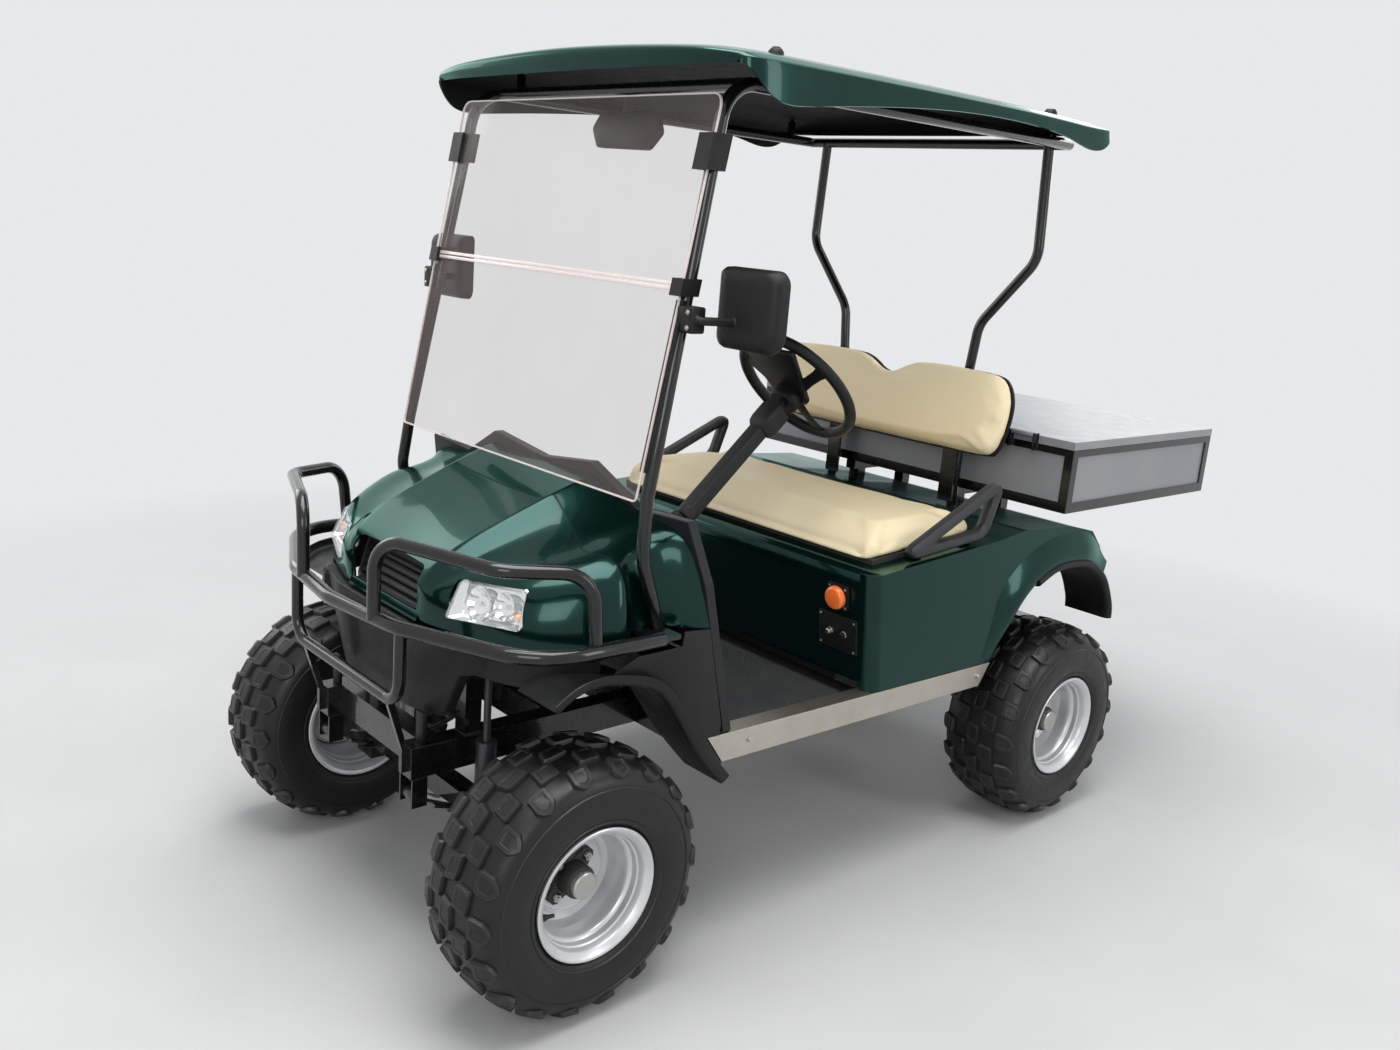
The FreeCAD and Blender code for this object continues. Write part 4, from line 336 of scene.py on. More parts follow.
def baked(mesh, *steps):
    """The mesh after modifiers. Each step is (kind, values)."""
    helper = linked("helper", mesh)
    for kind, values in steps:
        add(helper, kind, **values)
    graph = bpy.context.evaluated_depsgraph_get()
    result = bpy.data.meshes.new_from_object(helper.evaluated_get(graph))
    bpy.data.objects.remove(helper)
    return result


def subdivided(levels):
    return "SUBSURF", {"levels": levels, "render_levels": levels, "boundary_smooth": "PRESERVE_CORNERS"}


def thickened(thickness, **values):
    return "SOLIDIFY", {"thickness": thickness, "offset": -1.0, **values}


def remeshed(voxel):
    return ("REMESH", {"mode": "VOXEL", "voxel_size": voxel}), ("SMOOTH", {"factor": 0.5, "iterations": 6})


def cut_with(mesh, cutters):
    """The mesh after exact differences with closed cutter meshes."""
    helpers = [linked("cutter", cutter) for cutter in cutters]
    result = baked(mesh, *(("BOOLEAN", {"object": tool, "operation": "DIFFERENCE", "solver": "EXACT"})
                           for tool in helpers))
    for tool in helpers:
        bpy.data.objects.remove(tool)
    return result


def joined(meshes):
    """One mesh out of several, keeping their materials."""
    form = bmesh.new()
    looks = []
    for mesh in meshes:
        start = len(form.faces)
        form.from_mesh(mesh)
        form.faces.ensure_lookup_table()
        slots = {}
        for index, look in enumerate(mesh.materials):
            if look not in looks:
                looks.append(look)
            slots[index] = looks.index(look)
        for face in form.faces[start:]:
            face.material_index = slots.get(face.material_index, 0)
    result = bpy.data.meshes.new("form")
    form.to_mesh(result)
    form.free()
    for look in looks:
        result.materials.append(look)
    return result


def rounded(mesh, width, segments=2, angle=50):
    """Bevelled edges, on a mesh with shared corners."""
    return baked(mesh, ("BEVEL", {"width": width, "segments": segments, "limit_method": "ANGLE",
                                  "angle_limit": math.radians(angle)}))


def coloured(mesh, look):
    mesh.materials.clear()
    mesh.materials.append(look)
    return mesh


def reworked(mesh, work):
    """The mesh after work on its bmesh."""
    form = bmesh.new()
    form.from_mesh(mesh)
    work(form)
    form.to_mesh(mesh)
    form.free()
    return mesh


def outward(mesh, merge=0.0):
    """Corners closer than merge become one, and the faces look outwards."""
    def work(form):
        if merge:
            bmesh.ops.remove_doubles(form, verts=form.verts, dist=merge)
        bmesh.ops.recalc_face_normals(form, faces=form.faces)
    return reworked(mesh, work)


def facing(mesh, direction=None, inside=None):
    """Make the faces of an open sheet point along direction or away from a point inside."""
    def work(form):
        bmesh.ops.recalc_face_normals(form, faces=form.faces)
        score = 0.0
        for face in form.faces:
            aim = Vector(direction) if direction else (face.calc_center_median() - Vector(inside))
            score += face.normal.dot(aim) * face.calc_area()
        if score < 0:
            bmesh.ops.reverse_faces(form, faces=form.faces)
    return reworked(mesh, work)


def quads(rings, count, closed=True, loop=False, start=0):
    """Faces between rings of count points: closed goes round each ring, loop back to the first."""
    faces = []
    for k in range(rings if loop else rings - 1):
        a, b = start + k * count, start + (k + 1) % rings * count
        for i in range(count if closed else count - 1):
            j = (i + 1) % count
            faces.append([a + i, a + j, b + j, b + i])
    return faces


def ringed(rings, foot=False):
    """Quads between closed rings of equal counts, the last one filled, and the first where foot."""
    count = len(rings[0])
    last = (len(rings) - 1) * count
    faces = quads(len(rings), count)
    if foot:
        faces.append(list(range(count))[::-1])
    return mesh_from([p for ring in rings for p in ring], faces + [[last + i for i in range(count)]])


def grid_mesh(rows):
    """Quads between equal rows of points."""
    return mesh_from([p for row in rows for p in row], quads(len(rows), len(rows[0]), closed=False))


def prism(outline, axis, low, high):
    """A closed prism of (a, b) points along axis: 0 gives (y, z) points, 1 (x, z), 2 (x, y)."""
    def point(a, b, along):
        values = [a, b]
        values.insert(axis, along)
        return values
    count = len(outline)
    points = [point(a, b, along) for along in (low, high) for a, b in outline]
    faces = [list(range(count))[::-1], [count + k for k in range(count)]]
    return outward(mesh_from(points, faces + quads(2, count)))


def block(low, high):
    (x0, y0, z0), (x1, y1, z1) = low, high
    return prism([(x0, y0), (x1, y0), (x1, y1), (x0, y1)], 2, z0, z1)


def lathe(profile, centre=ORIGIN, axis=UP, segments=48, closed=False):
    """profile is (radius, along) turned about axis through centre."""
    axis = Vector(axis).normalized()
    side = axis.orthogonal().normalized()
    up = axis.cross(side)
    points = []
    for k in range(segments):
        angle = 2 * math.pi * k / segments
        out = side * math.cos(angle) + up * math.sin(angle)
        points += [Vector(centre) + axis * along + out * radius for radius, along in profile]
    return outward(mesh_from(points, quads(segments, len(profile), closed, loop=True)), 1e-6)


def turned(profile, look, centre=ORIGIN, axis=UP, segments=48, closed=False):
    return coloured(lathe(profile, centre, axis, segments, closed), look)


def smooth_line(points, per_span=6, closed=False):
    """Points on a smooth curve through the given ones."""
    points = [Vector(p) for p in points]
    count = len(points)
    result = []
    for k in range(count if closed else count - 1):
        near = [k + i for i in (-1, 0, 1, 2)]
        a, b, c, d = (points[i % count if closed else clamped(i, 0, count - 1)] for i in near)
        for i in range(per_span):
            t = i / per_span
            result.append(0.5 * (2 * b + (c - a) * t + (2 * a - 5 * b + 4 * c - d) * t ** 2
                                 + (3 * b - a - 3 * c + d) * t ** 3))
    if not closed:
        result.append(points[-1])
    return result


def sweep(line, section, closed=False, up=UP):
    """section is (across, upward) points carried along a line, held upright by up."""
    line = [Vector(p) for p in line]
    count = len(section)
    points = []
    total = len(line)
    for k, p in enumerate(line):
        before = line[k - 1] if (k or closed) else p
        after = line[(k + 1) % total] if (k < total - 1 or closed) else p
        along = (after - before).normalized()
        across = along.cross(Vector(up)).normalized()
        upward = across.cross(along).normalized()
        points += [p + across * a + upward * b for a, b in section]
    faces = quads(total, count, loop=closed)
    if not closed:
        faces.append(list(range(count))[::-1])
        faces.append([(total - 1) * count + i for i in range(count)])
    return outward(mesh_from(points, faces))


def soft_section(half_a, half_b, power=3.0, count=20):
    """A rounded rectangle as a superellipse; power 2 gives a circle."""
    points = []
    for k in range(count):
        angle = 2 * math.pi * k / count
        c, s = math.cos(angle), math.sin(angle)
        points.append((half_a * math.copysign(abs(c) ** (2 / power), c),
                       half_b * math.copysign(abs(s) ** (2 / power), s)))
    return points


def soft_outline(points, radius, steps=5):
    """A closed outline with rounded corners, as (a, b) points."""
    count = len(points)
    line = []
    for k in range(count):
        before, corner, after = (Vector((*points[(k + i) % count], 0)) for i in (-1, 0, 1))
        into = (corner - before).normalized()
        out = (after - corner).normalized()
        back = min(radius, 0.45 * min((corner - before).length, (after - corner).length))
        start, end = corner - into * back, corner + out * back
        for i in range(steps + 1):
            t = i / steps
            p = (1 - t) ** 2 * start + 2 * t * (1 - t) * corner + t ** 2 * end
            line.append((p.x, p.y))
    return line


def soft_rectangle(half_a, half_b, radius, steps=5):
    corners = [(-half_a, -half_b), (half_a, -half_b), (half_a, half_b), (-half_a, half_b)]
    return soft_outline(corners, radius, steps)


def shrunk(outline, share):
    """An outline drawn in towards its middle."""
    middle_a = sum(a for a, b in outline) / len(outline)
    middle_b = sum(b for a, b in outline) / len(outline)
    return [(middle_a + (a - middle_a) * share, middle_b + (b - middle_b) * share) for a, b in outline]


def stacked(outline, levels, point):
    """Rings of an outline: each level is (depth, share that it is shrunk to), and point(a, b, depth)
    gives the place."""
    return [[point(a, b, depth) for a, b in shrunk(outline, share)] for depth, share in levels]


def stack_form(outline, levels, point, **aim):
    return facing(ringed(stacked(outline, levels, point)), **aim)


def bolt_head(centre, axis, radius, high, washer=1.5):
    """A domed hexagon head on a washer."""
    thick = 0.0012
    axis = Vector(axis)
    flat = [(0, 0), (radius * washer, 0), (radius * washer, thick), (0, thick)]
    head = [(0, 0), (radius, 0), (radius, high * 0.75), (radius * 0.82, high), (0, high)]
    return [turned(flat, BOLT, centre, axis, 20), turned(head, BOLT, Vector(centre) + axis * thick, axis, 6)]


def mirrored(mesh):
    """A copy on the other side of the cart."""
    copy = mesh.copy()
    copy.transform(Matrix.Scale(-1, 4, (1, 0, 0)))
    copy.flip_normals()
    return copy


def sided(mesh, side):
    return mesh if side > 0 else mirrored(mesh)


# Wheels

LUG_PITCHES = 18
LUG_HIGH = 0.0095
# Half of the carcass: radius and distance from the wheel's middle plane, from the bead to the crown
CARCASS = ((0.1450, 0.1040), (0.1500, 0.1110), (0.1620, 0.1165), (0.1820, 0.1195), (0.2030, 0.1195),
           (0.2230, 0.1170), (0.2400, 0.1120), (0.2530, 0.1020), (0.2620, 0.0860), (0.2680, 0.0640),
           (0.2724, 0.0340), (0.2735, 0.0))
CARCASS_FOOT = (0.1280, 0.101)
SIDEWALL_RIDGES = ((0.1600, 0.1165), (0.2275, 0.1163))
# Rows of lugs: place across from the crown along the skin, half width, half length round the tyre,
# share of a pitch that the row is turned by, and the outline's name
LUG_ROWS = (
    (0.000, 0.017, 0.026, 0.00, "square"),
    (0.043, 0.020, 0.023, 0.50, "square"),
    (-0.043, 0.020, 0.023, 0.50, "square"),
    (0.093, 0.024, 0.022, 0.00, "pointed"),
    (-0.093, 0.024, 0.022, 0.00, "pointed"),
)
LUG_OUTLINES = {
    "square": ((-1, -0.82), (-0.82, -1), (0.82, -1), (1, -0.82), (1, 0.82), (0.82, 1), (-0.82, 1),
               (-1, 0.82)),
    "pointed": ((-1, -0.85), (-0.85, -1), (0.35, -1), (0.75, -0.6), (1, 0), (0.75, 0.6), (0.35, 1),
                (-0.85, 1), (-1, 0.85)),
}
# Share of the outline and height over the skin, from a lug's foot up to its dished top
LUG_LEVELS = ((1.10, -0.0015), (1.0, LUG_HIGH - 0.0014), (0.95, LUG_HIGH), (0.62, LUG_HIGH),
              (0.56, LUG_HIGH - 0.0012), (0.30, LUG_HIGH - 0.0012))


def skin_at(line, lengths, s):
    """Radius, place across and outward direction on the skin at a distance s from the crown."""
    flip = -1 if s < 0 else 1
    s = abs(s)
    for k in range(len(line) - 1, 0, -1):
        if lengths[k - 1] >= s or k == 1:
            (r0, a0), (r1, a1) = line[k], line[k - 1]
            run = max(lengths[k - 1] - lengths[k], 1e-9)
            t = clamped((s - lengths[k]) / run, 0, 1)
            across = Vector((r1 - r0, a1 - a0)).normalized()
            return r0 + t * (r1 - r0), flip * (a0 + t * (a1 - a0)), (across.y, -across.x * flip)


def tyre(name, centre, side, body):
    line = [(p.x, p.y) for p in smooth_line([(r, a, 0) for r, a in CARCASS], 5)]
    lengths = [0.0] * len(line)
    for k in range(len(line) - 2, -1, -1):
        lengths[k] = lengths[k + 1] + math.dist(line[k], line[k + 1])
    axis = (side, 0, 0)
    foot_r, foot_a = CARCASS_FOOT
    profile = line + [(r, -a) for r, a in line[-2::-1]] + [(foot_r, -foot_a), (foot_r, foot_a)]
    carcass = lathe(profile, centre, axis, 120, True)
    ridges = []
    for r, a in SIDEWALL_RIDGES:
        ridge = [(r - 0.0022, a - 0.002), (r, a + 0.0016), (r + 0.0022, a - 0.002)]
        ridges.append(lathe(ridge, centre, axis, 120, True))
        ridges.append(lathe([(p, -q) for p, q in ridge], centre, axis, 120, True))
    points, faces = [], []
    for s0, half_wide, half_long, turn, shape in LUG_ROWS:
        flip = -1 if s0 < 0 else 1
        outline = LUG_OUTLINES[shape]
        count = len(outline)
        for k in range(LUG_PITCHES):
            angle0 = 2 * math.pi * (k + turn) / LUG_PITCHES
            lean = 0.25 * (1 if k % 2 else -1) if s0 == 0 else 0.12 * flip
            start = len(points)
            for share, lift in LUG_LEVELS:
                for u, v in outline:
                    r, a, out = skin_at(line, lengths, s0 + flip * share * half_wide * u)
                    angle = angle0 + (share * half_long * v + lean * share * half_wide * u) / (r + lift)
                    r += out[0] * lift
                    a += out[1] * lift
                    points.append(centre + Vector((side * a, r * math.cos(angle), r * math.sin(angle))))
            faces += quads(len(LUG_LEVELS), count, start=start)
            faces.append([len(points) - count + i for i in range(count)])
    lugs = outward(mesh_from(points, faces))
    return put(f"{name}_tread", [carcass, lugs] + ridges, "tyre_rubber", name, body, smooth=32)


# The rim's inner face from the outer lip to the disc: radius and distance out from the middle plane
RIM_LINE = ((0.1428, 0.1085), (0.1430, 0.1120), (0.1405, 0.1135), (0.1370, 0.1132), (0.1335, 0.1110),
            (0.1300, 0.1070), (0.1262, 0.1040), (0.1240, 0.1010), (0.1232, 0.0900), (0.1222, 0.0870),
            (0.1190, 0.0850), (0.1180, 0.0800), (0.1190, 0.0760), (0.1180, 0.0715), (0.1130, 0.0680),
            (0.1105, 0.0640), (0.1100, 0.0500), (0.1085, 0.0300), (0.1080, 0.0180), (0.1050, 0.0120),
            (0.0980, 0.0102))
DISC_LINE = ((0.0980, 0.0102), (0.0860, 0.0102), (0.0835, 0.0122), (0.0780, 0.0128), (0.0760, 0.0108),
             (0.0640, 0.0102), (0.0300, 0.0102))
RIM_JOIN = ((0.1085, 0.016), (0.1120, 0.016), (0.1135, -0.052), (0.1100, -0.052))
RIM_SHEET = 0.0032
HUB = ((0.0, 0.056), (0.0335, 0.056), (0.0355, 0.052), (0.0360, 0.020), (0.0440, 0.0145),
       (0.0440, 0.0100), (0.0, 0.0100))
HUB_CAP = ((0.0, 0.0718), (0.0255, 0.0715), (0.0285, 0.0690), (0.0290, 0.0560), (0.0, 0.0560))
DRUM = ((0.0, -0.0945), (0.0300, -0.0945), (0.0300, -0.0240), (0.0630, -0.0200), (0.0640, 0.0040),
        (0.0, 0.0040))
# The cast arms on the disc, as distance out and place across, and their lower and upper face
ARM = ((0.026, -0.024), (0.045, -0.0185), (0.060, -0.0165), (0.067, -0.008), (0.067, 0.008),
       (0.060, 0.0165), (0.045, 0.0185), (0.026, 0.024))
ARM_LEVELS = (0.0104, 0.0215)
NUT_OUT = 0.0508
STUD = ((0, 0.0345), (0.0045, 0.0345), (0.0050, 0.0215), (0, 0.0215))
NUT = ((0, 0.0305), (0.0082, 0.0305), (0.0098, 0.0285), (0.0098, 0.0215), (0, 0.0215))
VALVE = ((0, 0.030), (0.0038, 0.030), (0.0044, 0.017), (0.0072, 0.010), (0.0085, 0.0), (0, 0))
# Where the valve stands: out from the wheel's middle plane, and from its axis
VALVE_PLACE = (0.066, 0.1125)
VALVE_ANGLE = math.radians(-20)


def wheel(name, centre, side, body):
    axis = Vector((side, 0, 0))
    under = [(r, a - RIM_SHEET) for r, a in DISC_LINE[::-1]]
    back = [(r, -a) for r, a in RIM_LINE[-5::-1]]
    wall = [(r + RIM_SHEET, a) for r, a in back[::-1]]
    rims = (([*RIM_LINE, *DISC_LINE[1:], *under], 112), (back + wall, 96), (RIM_JOIN, 96))
    iron = LOOKS["cast_black"]
    parts = [turned(profile, LOOKS["wheel_silver"], centre, axis, segments, True)
             for profile, segments in rims]
    for profile, look, segments in ((HUB, iron, 48), (HUB_CAP, BOLT, 48), (DRUM, iron, 56)):
        parts.append(turned(profile, look, centre, axis, segments))
    count = len(ARM)
    for k in range(4):
        angle = math.radians(45 + 90 * k)
        out = Vector((0, math.cos(angle), math.sin(angle)))
        across = Vector((0, -math.sin(angle), math.cos(angle)))
        points = [centre + axis * level + out * r + across * w for level in ARM_LEVELS for r, w in ARM]
        faces = [list(range(count)), [count + i for i in range(count)][::-1]] + quads(2, count)
        arm = facing(mesh_from(points, faces), inside=centre + out * ARM[1][0] + axis * sum(ARM_LEVELS) / 2)
        parts.append(coloured(rounded(arm, 0.0018, angle=40), iron))
        for profile, segments in ((STUD, 16), (NUT, 6)):
            parts.append(turned(profile, BOLT, centre + out * NUT_OUT, axis, segments))
    out = Vector((0, -math.cos(VALVE_ANGLE), math.sin(VALVE_ANGLE)))
    foot = centre + axis * VALVE_PLACE[0] + out * VALVE_PLACE[1]
    parts.append(turned(VALVE, LOOKS["tyre_rubber"], foot, axis * 0.55 - out * 0.85, 20))
    return put(f"{name}_detail", parts, "wheel_silver", name, body, smooth=35)


def wheels():
    for end, pivot in (("front", FRONT_AXLE), ("rear", REAR_AXLE)):
        for side_name, side in SIDES:
            centre = Vector((side * pivot.x, pivot.y, pivot.z))
            body = f"road_wheel_{end}_{side_name}"
            tyre(f"tyre_{end}_{side_name}", centre, side, body)
            wheel(f"wheel_{end}_{side_name}", centre, side, body)


# Front body

# Half sections of the cowl: y from the middle of the wheelbase, x and z of the lower edge, the side
# and the shoulder, z of the valley, x and z of the ridge's crest, and z on the centre line
COWL = (
    (-0.979, 0.152, 0.744, 0.176, 0.772, 0.186, 0.800, 0.812, 0.158, 0.826, 0.815),
    (-0.951, 0.262, 0.744, 0.264, 0.790, 0.244, 0.826, 0.842, 0.172, 0.868, 0.855),
    (-0.906, 0.400, 0.739, 0.398, 0.800, 0.338, 0.856, 0.866, 0.180, 0.900, 0.888),
    (-0.850, 0.464, 0.730, 0.460, 0.812, 0.408, 0.884, 0.884, 0.186, 0.929, 0.919),
    (-0.760, 0.512, 0.724, 0.508, 0.830, 0.462, 0.916, 0.909, 0.192, 0.966, 0.958),
    (-0.705, 0.522, 0.764, 0.518, 0.842, 0.480, 0.936, 0.926, 0.196, 0.989, 0.982),
    (-0.684, 0.478, 0.772, 0.475, 0.846, 0.462, 0.941, 0.932, 0.197, 0.998, 0.991),
    (-0.594, 0.479, 0.778, 0.476, 0.862, 0.468, 0.962, 0.960, 0.202, 1.030, 1.024),
    (-0.576, 0.543, 0.776, 0.541, 0.868, 0.506, 0.986, 0.966, 0.203, 1.036, 1.030),
    (-0.450, 0.547, 0.764, 0.545, 0.880, 0.512, 1.006, 0.998, 0.208, 1.074, 1.068),
)
RIDGE_OUT = 0.044
RIDGE_DOWN = 0.030
RIDGE_IN = 0.030
# Shell's thickness, and (y, z) of the sloping rear edge's top and foot
SHELL = 0.004
COWL_EDGE_TOP = (-0.585, 1.060)
COWL_EDGE_LOW = (-0.453, 0.541)
# The nose turns in to the grille's frame: x and z for each column of a cowl row, then the centre height
NOSE_Y = -0.9725
NOSE_TURN = ((0.139, 0.757), (0.139, 0.772), (0.141, 0.788), (0.143, 0.798), (0.145, 0.806),
             (0.140, 0.812), (0.118, 0.806), 0.800)
NOSE_BAR = ((-0.9815, 0.742), (-0.974, 0.7605), (-0.967, 0.7605), (-0.975, 0.742))
NOSE_BAR_HALF = 0.1525
GRILLE_LOW = (0.140, 0.758)
GRILLE_TOP = (0.148, 0.858)
# y where the cutters for the holes in the nose start and end
HOLE_FRONT = -1.1
GRILLE_HOLE_BACK = -0.90
LAMP_HOLE_BACK = -0.86
LAMP = ((0.238, 0.851), (0.238, 0.774), (0.408, 0.786), (0.389, 0.859))
LAMP_FRONT_Y = -0.966
# How far the lamp's face goes back for each metre out and up
LAMP_LEAN = (0.325, 0.47)


def mirror_points(y, half, centre):
    right = [here(x, y, z) for x, z in half]
    left = [here(-x, y, z) for x, z in reversed(half)]
    return right + [here(0, y, centre)] + left


def cowl_points(row):
    """Adds the ridge's foot, the valley and the panel inside the ridge to one row of the table."""
    y, low_x, low_z, side_x, side_z, top_x, top_z, valley_z, crest_x, crest_z, centre_z = row
    foot_x = crest_x + min(RIDGE_OUT, 0.6 * (top_x - crest_x))
    foot_z = max(crest_z - RIDGE_DOWN, valley_z)
    half = [(low_x, low_z), (side_x, side_z), (top_x, top_z), (0.5 * (top_x + foot_x), valley_z),
            (foot_x, foot_z), (crest_x, crest_z), (crest_x - RIDGE_IN, crest_z - 0.002)]
    return mirror_points(y, half, centre_z)


def crease(mesh, column, count, amount):
    """Semi-sharp edges along one column of a grid of rows of count points, and its mirror image."""
    attribute = mesh.attributes.get("crease_edge") or mesh.attributes.new("crease_edge", "FLOAT", "EDGE")
    for edge in mesh.edges:
        a, b = edge.vertices
        if a % count in (column, count - 1 - column) and b % count == a % count:
            attribute.data[edge.index].value = amount


def behind_edge_cut(mesh):
    """Cut away what lies behind the cowl's sloping rear edge."""
    (top_y, top_z), (low_y, low_z) = COWL_EDGE_TOP, COWL_EDGE_LOW
    along = Vector((0, top_y - low_y, top_z - low_z)).normalized()
    return reworked(mesh, lambda form: bmesh.ops.bisect_plane(
        form, geom=form.verts[:] + form.edges[:] + form.faces[:], plane_co=here(0, low_y, low_z),
        plane_no=Vector((0, along.z, -along.y)), clear_outer=True))


def lamp_outline(grow):
    middle_x = sum(x for x, z in LAMP) / len(LAMP)
    middle_z = sum(z for x, z in LAMP) / len(LAMP)
    return [(x + math.copysign(grow, x - middle_x), z + math.copysign(grow, z - middle_z)) for x, z in LAMP]


def cowl():
    rows = [mirror_points(NOSE_Y, NOSE_TURN[:-1], NOSE_TURN[-1])] + [cowl_points(row) for row in COWL]
    sheet = facing(grid_mesh(rows), inside=here(0, -0.72, 0.70))
    for column, amount in ((5, 0.45), (4, 0.30)):
        crease(sheet, column, 15, amount)
    skin = baked(behind_edge_cut(baked(sheet, subdivided(3))), thickened(SHELL))
    (low_x, low_z), (top_x, top_z) = GRILLE_LOW, GRILLE_TOP
    hole = soft_outline([(-low_x, low_z), (low_x, low_z), (top_x, top_z), (-top_x, top_z)], 0.02)
    cutters = [prism(hole, 1, MID_Y + HOLE_FRONT, MID_Y + GRILLE_HOLE_BACK)]
    for side_name, side in SIDES:
        hole = [(side * x, z) for x, z in soft_outline(lamp_outline(0.0015), 0.012)]
        cutters.append(prism(hole, 1, MID_Y + HOLE_FRONT, MID_Y + LAMP_HOLE_BACK))
    skin = cut_with(skin, cutters)
    bar = [(MID_Y + y, z) for y, z in soft_outline(NOSE_BAR, 0.002, 3)]
    bar = prism(bar, 0, -NOSE_BAR_HALF, NOSE_BAR_HALF)
    parts = [coloured(skin, GREEN), coloured(bar, GREEN)]
    return put("cowl_skin", parts, "green_metallic", "cowl", smooth=35)


# y of the grille's face at its foot, and how far it goes back with height
GRILLE_FACE = (-0.9713, 0.375)
GRILLE_EDGE = 0.0032
GRILLE_BACK = (-0.9300, -0.9270)
SLATS = 6
# A slat's section from its front edge's y and its middle height
SLAT = ((0, -0.0095), (0, -0.0030), (0.034, 0.0135), (0.034, 0.0070))


def grille():
    """A rounded frame in the nose and dark slats that slope down towards the front."""
    (low_x, low_z), (top_x, top_z) = GRILLE_LOW, GRILLE_TOP

    def face(z):
        return GRILLE_FACE[0] + GRILLE_FACE[1] * (z - low_z)
    edge = GRILLE_EDGE
    corners = [(-low_x + edge, low_z + edge), (low_x - edge, low_z + edge), (top_x - edge, top_z - edge),
               (-top_x + edge, top_z - edge)]
    ring = [here(x, face(z) + 0.013, z) for x, z in soft_outline(corners, 0.017)]
    parts = [sweep(ring, soft_section(0.0026, 0.012, 4.0), closed=True, up=(0, -1, 0))]
    for k in range(SLATS):
        z = low_z + (k + 0.5) * (top_z - low_z) / SLATS
        half = low_x + (top_x - low_x) * (z - low_z) / (top_z - low_z) - edge
        front = MID_Y + face(z) + 0.004
        outline = soft_outline([(front + y, z + rise) for y, rise in SLAT], 0.003, 4)
        parts.append(prism(outline, 0, -half, half))
    parts.append(prism([(x * 0.97, z) for x, z in corners], 1, *(MID_Y + y for y in GRILLE_BACK)))
    return put("grille_slats", parts, "black_plastic", "grille", smooth=35)


# The clear cover, the bright housing inside it and the dark shell behind: how far each ring stands
# back from the lamp's face, and its share of the outline
LAMP_COVER = ((0.034, 1.0), (0.0035, 1.0), (0.0008, 0.985), (0.0, 0.955), (-0.001, 0.5))
LAMP_HOUSING = ((0.036, 1.0), (0.010, 0.99), (0.0085, 0.955), (0.013, 0.93), (0.030, 0.90), (0.036, 0.86))
LAMP_SHELL = ((0.034, 1.0), (0.060, 0.99), (0.069, 0.80))
LAMP_MIDDLE = (0.315, 0.815)
# Bowls in each headlight: x, z and radius of its rim, and the place of the small amber bulb
LAMP_BOWLS = ((0.286, 0.811, 0.033), (0.345, 0.817, 0.028))
BOWL_DEEP = 0.020
AMBER_BULB = (0.384, 0.803, 0.009)
BULB = ((0.0, -0.016), (0.0055, -0.015), (0.0065, -0.006), (0.005, -0.001), (0.0, 0.0005))
BULB_STEM = ((0.0, -0.020), (0.004, -0.020), (0.0034, -0.008), (0.0, -0.007))


def headlight(side):
    """A clear leaning cover over a bright housing with two bowls and an amber bulb."""
    def at(x, z, back):
        lean = LAMP_LEAN[0] * (x - LAMP[1][0]) + LAMP_LEAN[1] * (z - LAMP[1][1])
        return here(side * x, LAMP_FRONT_Y + lean + back, z)

    outer = soft_outline(lamp_outline(-0.0006), 0.011)
    inner = soft_outline(lamp_outline(-0.0030), 0.010)
    near, far = at(*LAMP_MIDDLE, 0.03), at(*LAMP_MIDDLE, 0.10)
    cover = baked(stack_form(outer, LAMP_COVER, at, inside=near), thickened(0.0015))
    parts = [coloured(cover, LOOKS["lamp_lens"]),
             coloured(stack_form(inner, LAMP_HOUSING, at, inside=far), CHROME),
             coloured(stack_form(inner, LAMP_SHELL, at, inside=near), BLACK)]
    for x, z, radius in LAMP_BOWLS:
        bowl = [(radius * r, (r * r - 1) * BOWL_DEEP) for r in (0.0, 0.25, 0.5, 0.75, 0.92, 1.0)]
        bowl += [(radius * 1.05, 0.0012), (radius * 1.07, -0.002)]
        forms = ((bowl, CHROME, 48), (BULB, LOOKS["lamp_lens"], 24), (BULB_STEM, BOLT, 16))
        for profile, look, segments in forms:
            parts.append(turned(profile, look, at(x, z, BOWL_DEEP), (0.14 * side, -1, 0.25), segments))
    x, z, radius = AMBER_BULB
    bulb = [(0.0, -0.010), (radius, -0.010), (radius, 0.001), (radius * 0.7, 0.006), (0.0, 0.008)]
    parts.append(turned(bulb, AMBER, at(x, z, 0.022), (0.1 * side, -1, 0.2), 24))
    return parts


def headlights():
    return put("headlight_lamps", headlight(1) + headlight(-1), "lamp_lens", "headlights")


PANEL_TOP = (0.330, 0.735)
PANEL_LOW = (0.225, 0.548)
PANEL_Y = -0.9895
# Columns of the panel as shares of its half width, with how far each stands back from the face
PANEL_COLUMNS = ((0.0, 0.0), (0.34, 0.0), (0.40, 0.0), (0.43, 0.0), (0.50, 0.0), (0.60, 0.001), (0.68, 0.006),
                 (0.96, 0.030), (1.0, 0.036), (1.0, 0.060))
# The recess in the middle: its depth, its edge as a share of the half width, and its lowest and
# highest z
PANEL_RECESS = (0.010, 0.405, 0.590, 0.694)
PANEL_HEIGHTS = (0.560, 0.548, 0.556, 0.578, 0.586, 0.594, 0.640, 0.688, 0.697, 0.705, 0.729, 0.735, 0.735)
# How far the first and last row are folded back
PANEL_FOLD = (0.014, 0.030)
PANEL_SHELF = ((-0.318, -0.965), (0.318, -0.965), (0.250, -0.948), (-0.250, -0.948))
SHELF_Z = (0.7305, 0.7345)
# The strip behind the seam between panel and cowl: its middle height and its first and last y
SEAM_Z = 0.697
SEAM_Y = (-0.96, -0.74)
